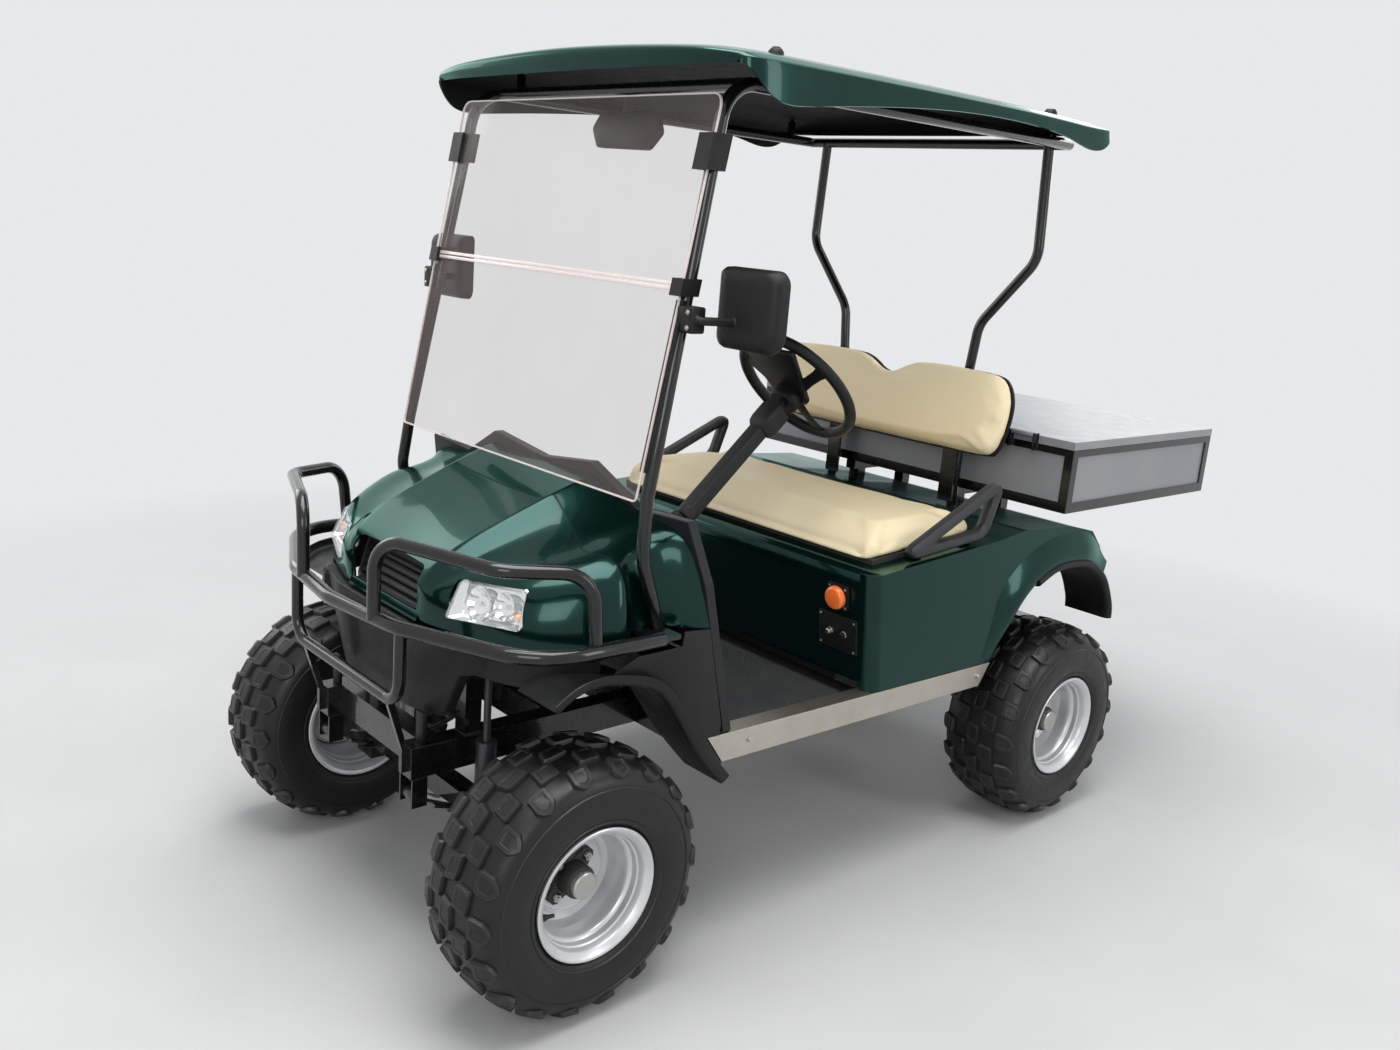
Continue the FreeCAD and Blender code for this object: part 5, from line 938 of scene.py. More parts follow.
# The tabs under the panel: x, half width, lowest and highest z
PANEL_TAB = (0.195, 0.015, 0.490, 0.558)
PANEL_GUSSET = ((0.290, -0.975), (0.322, -0.965), (0.340, -0.925), (0.250, -0.945))
GUSSET_Z = (0.676, 0.727)


def front_panel():
    """The moulded black panel under the nose: a recess in the middle and sides that fold back."""
    depth, edge, low, high = PANEL_RECESS
    folds = [PANEL_FOLD[0]] + [0.0] * (len(PANEL_HEIGHTS) - 2) + [PANEL_FOLD[1]]
    rows = []
    for z, fold in zip(PANEL_HEIGHTS, folds):
        t = clamped((z - PANEL_LOW[1]) / (PANEL_TOP[1] - PANEL_LOW[1]), 0, 1)
        half = PANEL_LOW[0] + t * (PANEL_TOP[0] - PANEL_LOW[0])
        row = []
        for share, back in PANEL_COLUMNS:
            recess = depth if share < edge and low < z < high else 0.0
            row.append(here(half * share, PANEL_Y + back + recess + fold, z))
        rows.append([Vector((-p.x, p.y, p.z)) for p in row[:0:-1]] + row)
    parts = [baked(facing(grid_mesh(rows), direction=(0, -1, 0)), subdivided(2), thickened(0.004))]
    shelf = soft_outline([(x, MID_Y + y) for x, y in PANEL_SHELF], 0.004, 2)
    parts.append(prism(shelf, 2, *SHELF_Z))
    for side_name, side in SIDES:
        seam = [here(side * (min(row[1], row[3]) - 0.009), row[0], SEAM_Z) for row in COWL
                if SEAM_Y[0] < row[0] < SEAM_Y[1]]
        parts.append(sweep(smooth_line(seam, 4), soft_section(0.0025, 0.0290, 6.0, 12)))
        x, half, low, high = PANEL_TAB
        tab = block(here(side * x - half, -0.990, low), here(side * x + half, -0.980, high))
        parts.append(rounded(tab, 0.002))
        parts.append(prism([(side * x, MID_Y + y) for x, y in PANEL_GUSSET], 2, *GUSSET_Z))
    return put("front_panel", parts, "black_plastic", "front_lower_panel")


FRONT_ARCH = ((-0.905, 0.668), (-0.850, 0.697), (-0.770, 0.698), (-0.655, 0.656), (-0.546, 0.514),
              (-0.447, 0.402))
FRONT_LIP = ((0.430, 0.0), (0.552, 0.0), (0.563, 0.0012), (0.571, 0.0055), (0.5750, 0.013), (0.5758, 0.0250),
             (0.5735, 0.0262), (0.5712, 0.0250), (0.5700, 0.014), (0.5665, 0.0085), (0.5600, 0.0056),
             (0.552, 0.005), (0.430, 0.005))
# Half width where the lips start to reach out, and how much less they do from one y to another
FLARE_SIDE = 0.552
LIP_TAPER = 0.72
LIP_TAPER_Y = (-0.72, -0.45)
# The side sheet behind the front lip: its inner and outer face, its first y, and the corners
# of its outline above and behind the wheel
SHEET_X = (0.5452, 0.5498)
SHEET_FRONT = -0.775
FLARE_TOP = ((-0.760, 0.720), (-0.705, 0.744), (-0.588, 0.744), (-0.584, 0.775), (-0.574, 0.775),
             (-0.514, 0.7695))
FLARE_REAR = ((-0.458, 0.545), (-0.460, 0.5193), (-0.497, 0.5193), (-0.448, 0.452))
REAR_LIP = ((0.682, 0.700), (0.762, 0.729), (0.855, 0.732), (0.940, 0.716), (1.012, 0.668), (1.062, 0.590),
            (1.072, 0.548))
REAR_SECTION = ((0.436, 0.0), (0.564, 0.0), (0.5755, 0.0025), (0.5822, 0.0085), (0.5838, 0.0150),
                (0.5810, 0.0215), (0.5730, 0.0255), (0.5508, 0.0262), (0.5508, 0.0055), (0.436, 0.005))


def arch_line(points):
    """(y, z) points on a smooth line, each with its outward direction."""
    line = smooth_line([(y, z, 0) for y, z in points])
    result = []
    for k, p in enumerate(line):
        along = (line[min(k + 1, len(line) - 1)] - line[max(k - 1, 0)]).normalized()
        result.append((p.x, p.y, -along.y, along.x))
    return result


def along_arch(points, section, side, width=lambda y: 1.0):
    """A section of (x, distance out from the line) points carried along an arch; width(y) is the
    share of its reach beyond the body's side."""
    rings = []
    for y, z, ny, nz in arch_line(points):
        share = width(y)
        rings.append([here(x + min(FLARE_SIDE - x, 0) * (1 - share), y + out * ny, z + out * nz)
                      for x, out in section])
    return sided(outward(ringed(rings, foot=True)), side)


def flares():
    for side_name, side in SIDES:
        arch = along_arch(FRONT_ARCH, FRONT_LIP, side, lambda y: 1 - LIP_TAPER * eased(y, *LIP_TAPER_Y))
        lower = [(y, z) for y, z, ny, nz in arch_line(FRONT_ARCH) if y > SHEET_FRONT][::-1]
        outline = [(MID_Y + y, z - 0.0003) for y, z in [*FLARE_TOP, *FLARE_REAR, *lower]]
        sheet = sided(rounded(prism(outline, 0, *SHEET_X), 0.0014), side)
        name = f"front_flare_{side_name}"
        put(f"{name}_lip", [arch, sheet], "black_plastic", name, smooth=35)
        name = f"rear_flare_{side_name}"
        put(f"{name}_lip", along_arch(REAR_LIP, REAR_SECTION, side), "black_plastic", name, smooth=35)


# Rear body

REAR_BULGE = ((0.530, 0.505), (0.572, 0.590), (0.613, 0.664), (0.680, 0.716), (0.762, 0.745), (0.855, 0.750),
              (0.945, 0.738), (1.040, 0.676))
# How far the bulge stands out of the side and how far from the arch's edge
BULGE_SECTION = ((0.0, 0.080), (0.008, 0.068), (0.019, 0.048), (0.026, 0.028), (0.028, 0.012),
                 (0.026, 0.003), (0.018, 0.0005), (-0.003, 0.0005), (-0.003, 0.080))
BODY_SIDE = 0.5497
CORNER_RADIUS = 0.038
CORNER_Z = (0.5105, 0.8135)
# The seat base's leaning front: y and z of its foot, and how far it leans forward with height
KICK_FOOT = (0.038, 0.510)
KICK_LEAN = 0.1395


def kick_y(z):
    return KICK_FOOT[0] - KICK_LEAN * (z - KICK_FOOT[1])


def body_corners():
    """The rounded upright edges of the seat base, over the gap that its CAD solid leaves there."""
    levels, steps = 12, 16
    clear = 0.0003
    rows = []
    for k in range(levels + 1):
        z = CORNER_Z[0] + (CORNER_Z[1] - CORNER_Z[0]) * k / levels
        row = []
        for i in range(steps + 1):
            angle = math.pi / 2 * i / steps
            out = CORNER_RADIUS + 0.0004 * math.sin(2 * angle) + 0.0002
            row.append(here(BODY_SIDE + clear - CORNER_RADIUS + out * math.sin(angle),
                            kick_y(z) + CORNER_RADIUS - out * math.cos(angle), z))
        rows.append(row)
    sheet = baked(facing(grid_mesh(rows), inside=here(0.4, 0.2, 0.66)), thickened(0.002))
    for side_name, side in SIDES:
        put(f"body_corner_{side_name}", sided(sheet.copy(), side), "green_metallic", smooth=50)


def arch_bulges():
    """The fender's rounded edge over each rear wheel; it runs out towards the sill and the tail."""
    for side_name, side in SIDES:
        rings = []
        for y, z, ny, nz in arch_line(REAR_BULGE):
            share = 0.12 + 0.88 * eased(z, 0.50, 0.68) * (1 - 0.85 * eased(y, 0.90, 1.03))
            spread = 0.55 + 0.45 * share
            rings.append([here(BODY_SIDE + out * share, y + far * spread * ny, z + far * spread * nz)
                          for out, far in BULGE_SECTION])
        bulge = facing(ringed(rings), inside=here(0.5, 0.8, 0.78))
        put(f"arch_bulge_{side_name}", sided(bulge, side), "green_metallic", smooth=50)


# Seat

DECK_FRONT = (0.095, 0.818)
DECK_RISE = 0.028 / 0.405
CUSHION_HALF = 0.487
CUSHION_Y = (0.053, 0.484)
CUSHION_TOP = 0.897
CUSHION_BASE = 0.0130
# In front of the board the cover hangs lower: from this y forwards, to this height over the deck
CUSHION_LIP = (0.066, 0.005)
# Half width, front, rear and top of the space that the cushion has
CUSHION_ROOM = (0.502, 0.047, 0.492, 0.910)
# Share of the height, then how far in from the front, the sides and the rear
CUSHION_LEVELS = ((0.0, 0.004, 0.004, 0.002), (0.18, 0.0, 0.0, 0.0), (0.55, 0.002, 0.002, 0.0),
                  (0.82, 0.020, 0.010, 0.004), (0.95, 0.040, 0.022, 0.010), (1.0, 0.062, 0.040, 0.022))
# Voxel size, height up to which the cover is held, and the most that the cloth may move
CUSHION_FILL = (0.009, 0.016, 0.014)
FILL_STEPS = 20


def deck(y):
    """Height of the seat base's sloping top."""
    return DECK_FRONT[1] + (y - DECK_FRONT[0]) * DECK_RISE


def cushion_foot(y, base):
    return deck(y) + (CUSHION_LIP[1] if y < CUSHION_LIP[0] else base)


def blown_up(mesh, fixed):
    """The mesh after a run of cloth under pressure, with the points numbered in fixed held."""
    piece = linked("pad", mesh)
    group = piece.vertex_groups.new(name="held")
    group.add(fixed, 1.0, "REPLACE")
    cloth = piece.modifiers.new("fill", "CLOTH")
    cloth.settings.use_pressure = True
    cloth.settings.uniform_pressure_force = 4.0
    cloth.settings.vertex_group_mass = "held"
    cloth.settings.effector_weights.gravity = 0.0
    cloth.point_cache.frame_start = 1
    cloth.point_cache.frame_end = FILL_STEPS
    for step in range(1, FILL_STEPS + 1):
        bpy.context.scene.frame_set(step)
    graph = bpy.context.evaluated_depsgraph_get()
    mesh = bpy.data.meshes.new_from_object(piece.evaluated_get(graph))
    bpy.data.objects.remove(piece)
    bpy.context.scene.frame_set(1)
    return mesh


def filled(mesh, voxel, held, cap, room):
    """A closed form swollen as padded cloth: points where held(p) is true stay, the others move by
    no more than cap, and room(p) keeps each inside the space it has."""
    mesh = baked(mesh, *remeshed(voxel))
    start = [v.co.copy() for v in mesh.vertices]
    mesh = blown_up(mesh, [k for k, p in enumerate(start) if held(p)])
    for vertex, first in zip(mesh.vertices, start):
        move = vertex.co - first
        if move.length > cap:
            move = move.normalized() * cap
        vertex.co = room(first + move)
    mesh = baked(mesh, ("SMOOTH", {"factor": 0.4, "iterations": 3}),
                 ("SUBSURF", {"levels": 1, "render_levels": 1}))
    mesh.materials.clear()
    return mesh


def solid(rings):
    return outward(joined([ringed(rings), ringed(rings[:1])]), 1e-5)


def cushion_room(p):
    half, front, rear, top = CUSHION_ROOM
    y = clamped(p.y - MID_Y, front, rear)
    low = cushion_foot(y, CUSHION_BASE - 0.0004)
    return here(clamped(p.x, -half, half), y, clamped(p.z, low, top))


def seat_cushion():
    """A wedge with a level top and a front edge that rolls down over the board."""
    front, rear = CUSHION_Y
    middle = (front + rear) / 2
    corners = [(-CUSHION_HALF, front), (CUSHION_HALF, front), (CUSHION_HALF, rear), (-CUSHION_HALF, rear)]
    rings = []
    for share, from_front, from_side, from_rear in CUSHION_LEVELS:
        ring = []
        for x, y in soft_outline(corners, 0.045, 6):
            inward = from_front if y < middle else from_rear
            x *= 1 - from_side / CUSHION_HALF
            y = middle + (y - middle) * (1 - inward / (middle - front))
            low = cushion_foot(y, CUSHION_BASE)
            ring.append(here(x, y, low + share * (CUSHION_TOP - low)))
        rings.append(ring)
    voxel, held, cap = CUSHION_FILL
    pad = filled(solid(rings), voxel, lambda p: p.z < deck(p.y - MID_Y) + held, cap, cushion_room)
    piece = put("cushion_pad", pad, "cream_vinyl", "seat_cushion", "seat", smooth=70)


BACK_PLACE = here(0, 0.614, 1.029)
BACK_LEAN = math.radians(9)
BACK_MIDDLE = 0.116
BACK_HALF = 0.430
# Half of the back's outline, from the middle of its foot to the middle of its top
BACK_SIDE = ((0.0, 0.0), (0.20, 0.0), (0.375, 0.004), (0.410, 0.020), (0.424, 0.060), (0.430, 0.120),
             (0.424, 0.170), (0.400, 0.212), (0.360, 0.228), (0.250, 0.2325), (0.140, 0.2315), (0.100, 0.226),
             (0.066, 0.212), (0.040, 0.197), (0.018, 0.190), (0.0, 0.1885))
# Depth and how far in from the outline, for the pad and for the shell behind it
PAD_LEVELS = ((0.022, 0.005), (0.014, 0.0), (-0.006, 0.0), (-0.020, 0.005), (-0.028, 0.015), (-0.0325, 0.034))
SHELL_LEVELS = ((0.0215, 0.004), (0.0225, 0.0), (0.0300, 0.0), (0.0355, 0.005), (0.0375, 0.014))
PAD_FILL = (0.008, 0.015, 0.010)
PAD_ROOM = (-0.0375, 0.022)


def back_form(levels):
    outline = [*BACK_SIDE, *((-x, z) for x, z in BACK_SIDE[-2:0:-1])]
    line = smooth_line([(x, z, 0) for x, z in outline], 3, closed=True)
    return solid([[Vector((p.x * (1 - inward / BACK_HALF), depth,
                           BACK_MIDDLE + (p.y - BACK_MIDDLE) * (1 - inward / BACK_MIDDLE))) for p in line]
                  for depth, inward in levels])


def seat_back():
    """A two-hump pad on a dark moulded shell, leaning back."""
    voxel, held, cap = PAD_FILL
    pad = filled(back_form(PAD_LEVELS), voxel, lambda p: p.y > held, cap,
                 lambda p: Vector((p.x, clamped(p.y, *PAD_ROOM), p.z)))
    shell = back_form(SHELL_LEVELS)
    for mesh in (pad, shell):
        mesh.transform(Matrix.Translation(BACK_PLACE) @ Matrix.Rotation(-BACK_LEAN, 4, "X"))
    piece = put("back_pad", pad, "cream_vinyl", "seat_back", smooth=70)
    put("back_shell", shell, "black_plastic")


HIP_X = 0.525
HIP_CORNERS = ((0.150, 0.023), (0.447, 0.024), (0.494, 0.147))


def hip_loops():
    """Closed foam loops beside the seat."""
    ring = [here(HIP_X, y, deck(y) + h) for y, h in soft_outline(HIP_CORNERS, 0.032, 8)]
    loop = sweep(ring, soft_section(0.0150, 0.0185, 2.6, 16), closed=True, up=(1, 0, 0))
    loop = coloured(baked(loop, *remeshed(0.0035)), LOOKS["black_foam"])
    return put("hip_loops", [loop, mirrored(loop)], "black_foam", "hip_restraints", "seat", smooth=60)


# Steering column and wheel

COLUMN_PLACE = here(0.250, -0.010, 1.222)
COLUMN_TURN = math.radians(-48.5)
RIM_RADIUS = 0.158
RIM_THICK = 0.014
WHEEL_HUB = ((0, -0.060), (0.034, -0.060), (0.038, -0.056), (0.038, -0.018), (0.034, -0.0125),
             (0.030, -0.0115), (0, -0.0105))
WHEEL_STEM = ((0, -0.165), (0.012, -0.165), (0.012, -0.055), (0, -0.055))
# Distance from the middle, height, half width and half thickness along a spoke
SPOKE = ((0.020, -0.018, 0.021, 0.0040), (0.045, -0.019, 0.018, 0.0040), (0.085, -0.014, 0.0140, 0.0040),
         (0.120, -0.007, 0.0145, 0.0040), (0.146, -0.002, 0.0185, 0.0045), (0.156, 0.0, 0.0200, 0.0045))
CARD_PLATE = ((-0.045, 0.030), (0.045, 0.030), (0.085, -0.143), (-0.085, -0.143))
CARD_CLIP = ((-0.022, -0.108), (0.022, -0.108), (0.022, -0.122), (-0.022, -0.122))
# Lower and upper face and edge radius of the card holder's plate, its window and its clip
CARD_LEVELS = ((-0.0290, -0.0150, 0.003), (-0.0152, -0.0128, 0.0012), (-0.0130, -0.0085, 0.0010))
# The column's jacket: half width, lower and upper end
JACKET = (0.0185, -0.430, -0.095)
SHROUD = ((-0.0295, -0.0265), (0.0295, -0.0265), (0.0295, 0.0275), (-0.0295, 0.0275))
# Height and share of the outline from the shroud's lower end up
SHROUD_LEVELS = ((-0.157, 0.72), (-0.147, 0.93), (-0.131, 1.0), (-0.087, 1.0), (-0.083, 0.94))
COLLAR = ((0, -0.450), (0.022, -0.450), (0.024, -0.446), (0.024, -0.424), (0, -0.424))
LOWER_TUBE_RADIUS = 0.015
LOWER_TUBE_START = -0.410
LOWER_TUBE_END = here(0.125, -0.7975, 0.660)


def column_turned(mesh):
    """Turn a mesh made about Z, the driver above it, into the column's direction."""
    mesh.transform(Matrix.Translation(COLUMN_PLACE) @ Matrix.Rotation(COLUMN_TURN, 4, "X"))
    return mesh


def steering_wheel():
    rim = [(RIM_RADIUS + RIM_THICK * a, RIM_THICK * b) for a, b in soft_section(1, 1, 2.0)]
    parts = [lathe(rim, segments=96, closed=True), lathe(WHEEL_HUB)]
    for k in range(3):
        rings = [[(a, out, z + b) for a, b in soft_section(wide, thick, 3.0, 16)]
                 for out, z, wide, thick in SPOKE]
        arm = facing(ringed(rings), inside=(0, 0.08, -0.012))
        arm.transform(Matrix.Rotation(2 * math.pi * k / 3, 4, "Z"))
        parts.append(arm)
    card = soft_outline(CARD_PLATE, 0.014)
    plates = (card, shrunk(card, 0.90), soft_outline(CARD_CLIP, 0.004))
    for outline, (low, high, edge) in zip(plates, CARD_LEVELS):
        parts.append(rounded(prism(outline, 2, low, high), edge))
    parts.append(lathe(WHEEL_STEM, segments=24))
    form = column_turned(joined(parts))
    return put("steering_rim", form, "black_plastic", "steering_wheel", "steering_wheel", smooth=38)


def steering_column():
    """A square jacket with its shroud, and the tube on down to the steering box."""
    half, low, top = JACKET
    jacket = prism(soft_rectangle(half, half, 0.005, 4), 2, low, top)
    shroud = stack_form(soft_outline(SHROUD, 0.007, 4), SHROUD_LEVELS, lambda x, y, z: (x, y, z),
                        inside=(0, 0, -0.12))
    parts = [column_turned(mesh) for mesh in (jacket, shroud, lathe(COLLAR, segments=32))]
    foot = COLUMN_PLACE + Matrix.Rotation(COLUMN_TURN, 3, "X") @ Vector((0, 0, LOWER_TUBE_START))
    reach = LOWER_TUBE_END - foot
    tube = [(0, 0), (LOWER_TUBE_RADIUS, 0), (LOWER_TUBE_RADIUS, reach.length), (0, reach.length)]
    parts.append(lathe(tube, foot, reach, 32))
    return put("column_jacket", parts, "dash_plastic", "steering_column")


# Controls and mat

CONTROLS_X = 0.447
KNOB_Z = 0.738
SWITCHES_Z = 0.644
KNOB_PROFILE = ((0, 0.0275), (0.0215, 0.0275), (0.0262, 0.0250), (0.0290, 0.0200), (0.0290, 0.0110),
                (0.0255, 0.0085), (0.0255, 0.0), (0, 0))
SWITCH_NUT = ((0, 0.0115), (0.0095, 0.0115), (0.0105, 0.0100), (0.0105, 0.0070), (0, 0.0070))
SWITCH_STEM = ((0, 0.0200), (0.0055, 0.0200), (0.0068, 0.0185), (0.0068, 0.0100), (0, 0.0100))
FORWARD = (0, -1, 0)


def on_kick_panel(mesh, z, dx=0.0, dz=0.0):
    """Stand a mesh made about the origin, facing -Y, on the seat base's leaning front."""
    turn = Matrix.Rotation(math.atan(KICK_LEAN), 4, "X")
    foot = here(CONTROLS_X, kick_y(z) - 0.0003, z)
    mesh.transform(Matrix.Translation(foot) @ turn @ Matrix.Translation((dx, 0, dz)))
    return mesh


def control_plate(half_x, half_z, z):
    thick, inset = 0.0075, 0.008
    plate = rounded(prism(soft_rectangle(half_x, half_z, 0.006, 4), 1, -thick, 0.0), 0.0016)
    parts = [coloured(on_kick_panel(plate, z), BLACK)]
    for sx in (-1, 1):
        for sz in (-1, 1):
            for mesh in bolt_head((0, -thick, 0), FORWARD, 0.0028, 0.0018, 1.25):
                parts.append(on_kick_panel(mesh, z, sx * (half_x - inset), sz * (half_z - inset)))
    return parts


def seat_controls():
    """An orange knob on a dark plate, and under it a plate with two switches."""
    parts = control_plate(0.033, 0.032, KNOB_Z) + control_plate(0.062, 0.046, SWITCHES_Z)
    parts.append(on_kick_panel(turned(KNOB_PROFILE, LOOKS["orange_plastic"], axis=FORWARD), KNOB_Z))
    for dx, stem_look in ((-0.022, BOLT), (0.022, BLACK)):
        for profile, segments, look in ((SWITCH_NUT, 6, BOLT), (SWITCH_STEM, 20, stem_look)):
            form = turned(profile, look, axis=FORWARD, segments=segments)
            parts.append(on_kick_panel(form, SWITCHES_Z, dx))
    return put("seat_controls", parts, "orange_plastic", "kick_panel_controls")


RIB_PITCH = 0.0105
RIB_HIGH = 0.0016
RIB_MARGIN = 0.004
# Distance along and share of the height over a rib
RIB = ((0.0, 0), (0.0012, 1), (0.0050, 1), (0.0062, 0))


def floor_mat():
    """A rubber mat with fine ribs across the cart."""
    low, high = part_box("floor_mat")
    valley = high.z - RIB_HIGH
    outline = [(low.y, low.z), (low.y, valley)]
    for k in range(int((high.y - low.y - 2 * RIB_MARGIN) / RIB_PITCH)):
        y = low.y + RIB_MARGIN + k * RIB_PITCH
        outline += [(y + along, high.z if up else valley) for along, up in RIB]
    outline += [(high.y, valley), (high.y, low.z)]
    return put("ribbed_mat", prism(outline, 0, low.x, high.x), "floor_rubber", "floor_mat", smooth=30)


ROCKER_SIDE = 0.5500
ROCKER_BOLTS = ((-0.367, 0.489), (0.485, 0.471))


def rocker_bolts():
    parts = []
    for side_name, side in SIDES:
        for y, z in ROCKER_BOLTS:
            parts += bolt_head(here(side * ROCKER_SIDE, y, z), (side, 0, 0), 0.0075, 0.005)
    return put("rocker_bolts", parts, "aluminium", smooth=35)


# Roof

# Half sections of the roof: y, how far the corner is swept in, then x and z of the lower edge, the
# side, the gutter's ridge and the shoulder, and z on the centre line
ROOF = (
    (-0.600, 0.050, 0.540, 1.883, 0.540, 1.884, 0.520, 1.883, 0.420, 1.881, 1.880),
    (-0.612, 0.050, 0.552, 1.886, 0.552, 1.894, 0.530, 1.900, 0.425, 1.911, 1.926),
    (-0.590, 0.036, 0.572, 1.872, 0.570, 1.894, 0.542, 1.905, 0.435, 1.919, 1.938),
    (-0.520, 0.010, 0.586, 1.824, 0.580, 1.893, 0.548, 1.907, 0.446, 1.928, 1.948),
    (-0.450, 0.0, 0.590, 1.815, 0.583, 1.893, 0.550, 1.908, 0.450, 1.931, 1.951),
    (-0.350, 0.0, 0.590, 1.830, 0.584, 1.894, 0.551, 1.909, 0.452, 1.933, 1.952),
    (0.030, 0.0, 0.590, 1.872, 0.585, 1.897, 0.552, 1.911, 0.452, 1.935, 1.953),
    (0.350, 0.0, 0.590, 1.874, 0.585, 1.897, 0.552, 1.911, 0.452, 1.935, 1.953),
    (0.510, 0.0, 0.589, 1.858, 0.583, 1.894, 0.550, 1.909, 0.451, 1.932, 1.951),
    (0.590, 0.0, 0.588, 1.837, 0.582, 1.892, 0.549, 1.907, 0.450, 1.930, 1.949),
    (0.660, -0.002, 0.586, 1.842, 0.580, 1.893, 0.547, 1.905, 0.447, 1.927, 1.945),
    (0.704, -0.008, 0.580, 1.868, 0.575, 1.897, 0.541, 1.903, 0.440, 1.920, 1.937),
    (0.716, -0.010, 0.568, 1.882, 0.564, 1.896, 0.532, 1.898, 0.434, 1.911, 1.926),
    (0.700, -0.010, 0.552, 1.880, 0.550, 1.884, 0.520, 1.883, 0.426, 1.882, 1.882),
)
ROOF_WALL = 0.005
# x, each y and the height of the bolts through the roof, and their washer's profile
ROOF_BOLTS = (0.455, (-0.380, 0.600), 1.9335)
ROOF_WASHER = ((0, -0.012), (0.017, -0.012), (0.016, -0.002), (0.011, 0.0042), (0, 0.0042))


def roof_points(row):
    y, swept = row[:2]
    half = [here(x, y + swept * (x / 0.55) ** 4, z) for x, z in zip(row[2:-1:2], row[3:-1:2])]
    return half + [here(0, y, row[-1])] + [Vector((-p.x, p.y, p.z)) for p in reversed(half)]


def canopy():
    """One moulded shell with a gutter ridge along each side, dark underneath."""
    sheet = facing(grid_mesh([roof_points(row) for row in ROOF]), inside=here(0, 0.05, 1.70))
    for column, amount in ((1, 0.55), (2, 0.45), (3, 0.25)):
        crease(sheet, column, 9, amount)
    coloured(sheet, GREEN).materials.append(LINING)
    x, places, top = ROOF_BOLTS
    parts = [baked(sheet, subdivided(3), thickened(ROOF_WALL, material_offset=1))]
    parts += [turned(ROOF_WASHER, BLACK, here(side * x, y, top), segments=32)
              for side_name, side in SIDES for y in places]
    return put("canopy_shell", parts, "green_metallic", "canopy", smooth=35)


# Windshield, mirrors and lamps at the rear

GLASS_LEAN = 132 / 700
GLASS_FOOT = (-0.656, 1.050)
GLASS_HALF = 0.474
# The two faces, as distances ahead of the struts
GLASS_AHEAD = (0.0173, 0.0217)
# Half width, depth and height of the strip along the fold
GLASS_STRIP = (GLASS_HALF - 0.004, 0.0030, 0.004)
# Each pane's node, lowest and highest z, and the radius of its lower and upper corners
PANES = (("windshield_lower", 1.041, 1.4615, 0.010, 0.004), ("windshield_upper", 1.4685, 1.835, 0.004, 0.030))


def glass_y(z, ahead):
    """y on the windshield's slope at height z, so far ahead of the struts."""
    return GLASS_FOOT[0] + (z - GLASS_FOOT[1]) * GLASS_LEAN - ahead * math.hypot(1, GLASS_LEAN)


def sloped(mesh, look):
    """Lean a mesh made flat at y = -ahead back with the windshield."""
    for vertex in mesh.vertices:
        vertex.co.y = MID_Y + glass_y(vertex.co.z, -vertex.co.y)
    return coloured(mesh, look)


def windshields():
    middle = -sum(GLASS_AHEAD) / 2
    for name, low, top, low_turn, top_turn in PANES:
        corners = [(-GLASS_HALF, low), (GLASS_HALF, low), (GLASS_HALF, top), (-GLASS_HALF, top)]
        foot = soft_outline(corners, low_turn, 4)[:10]
        outline = foot + soft_outline(corners, top_turn, 8)[18:]
        pane = prism(outline, 1, -GLASS_AHEAD[1], -GLASS_AHEAD[0])
        rim = sweep([(x, middle, z) for x, z in outline], soft_section(0.0018, 0.0026, 4.0, 12), closed=True,
                    up=(0, 1, 0))
        fold = top - 0.0015 if name.endswith("lower") else low + 0.0015
        half, deep, high = GLASS_STRIP
        strip = block((-half, middle - deep, fold - high), (half, middle + deep, fold + high))
        strip = rounded(strip, 0.0012)
        # The pale rim and the strip along the fold carry a painted edge highlight.
        parts = [sloped(pane, LOOKS["clear_sheet"]), sloped(rim, EDGE), sloped(strip, EDGE)]
        put(f"{name}_pane", parts, "clear_sheet", name)


MIRROR_HEAD = ((0.498, 1.350), (0.634, 1.350), (0.656, 1.376), (0.656, 1.494), (0.638, 1.512), (0.494, 1.512),
               (0.486, 1.504), (0.486, 1.366))
# y and share of the outline, from the glass's rim round the dome in front
MIRROR_DOME = ((-0.4840, 0.930), (-0.4802, 0.960), (-0.4804, 0.992), (-0.4840, 1.0), (-0.5020, 0.985),
               (-0.5130, 0.930), (-0.5185, 0.820), (-0.5200, 0.620))
MIRROR_GLASS = ((-0.4838, 0.932),)
# The clamp on the strut: its inner and outer x, middle height and half height
CLAMP = (0.472, 0.520, 1.405, 0.026)
ARM_RADIUS = 0.0085
BALL_RADIUS = 0.0125


def side_mirrors():
    outline = soft_outline(MIRROR_HEAD, 0.014, 4)

    def at(x, z, y):
        return here(x, y, z)
    head = stack_form(outline, MIRROR_DOME, at, inside=here(0.57, -0.50, 1.43))
    face = stack_form(outline, MIRROR_GLASS, at, direction=(0, 1, 0))
    x0, x1, z, half = CLAMP
    y = glass_y(z, 0)
    clamp = rounded(block(here(x0, y - 0.017, z - half), here(x1, y + 0.020, z + half)), 0.005, 3)
    arm_in, arm_out = here(0.516, y, z), here(0.545, -0.512, z)
    line = smooth_line([arm_in, arm_in + Vector((0.012, 0.006, 0)), arm_out], 6)
    arm = sweep(line, soft_section(ARM_RADIUS, ARM_RADIUS, 2.0, 16))
    ball = [(BALL_RADIUS * math.sin(math.pi * k / 12), -BALL_RADIUS * math.cos(math.pi * k / 12))
            for k in range(13)]
    parts = [head, clamp, arm] + [lathe(ball, place_at, UP, 24) for place_at in (arm_in, arm_out)]
    parts = [coloured(mesh, BLACK) for mesh in parts] + [coloured(face, MIRROR)]
    for dz in (-0.015, 0.015):
        parts += bolt_head(here(0.508, y - 0.017, z + dz), FORWARD, 0.004, 0.003, 1.3)
    one = joined(parts)
    return put("door_mirrors", [one, mirrored(one)], "black_plastic", "side_mirrors")


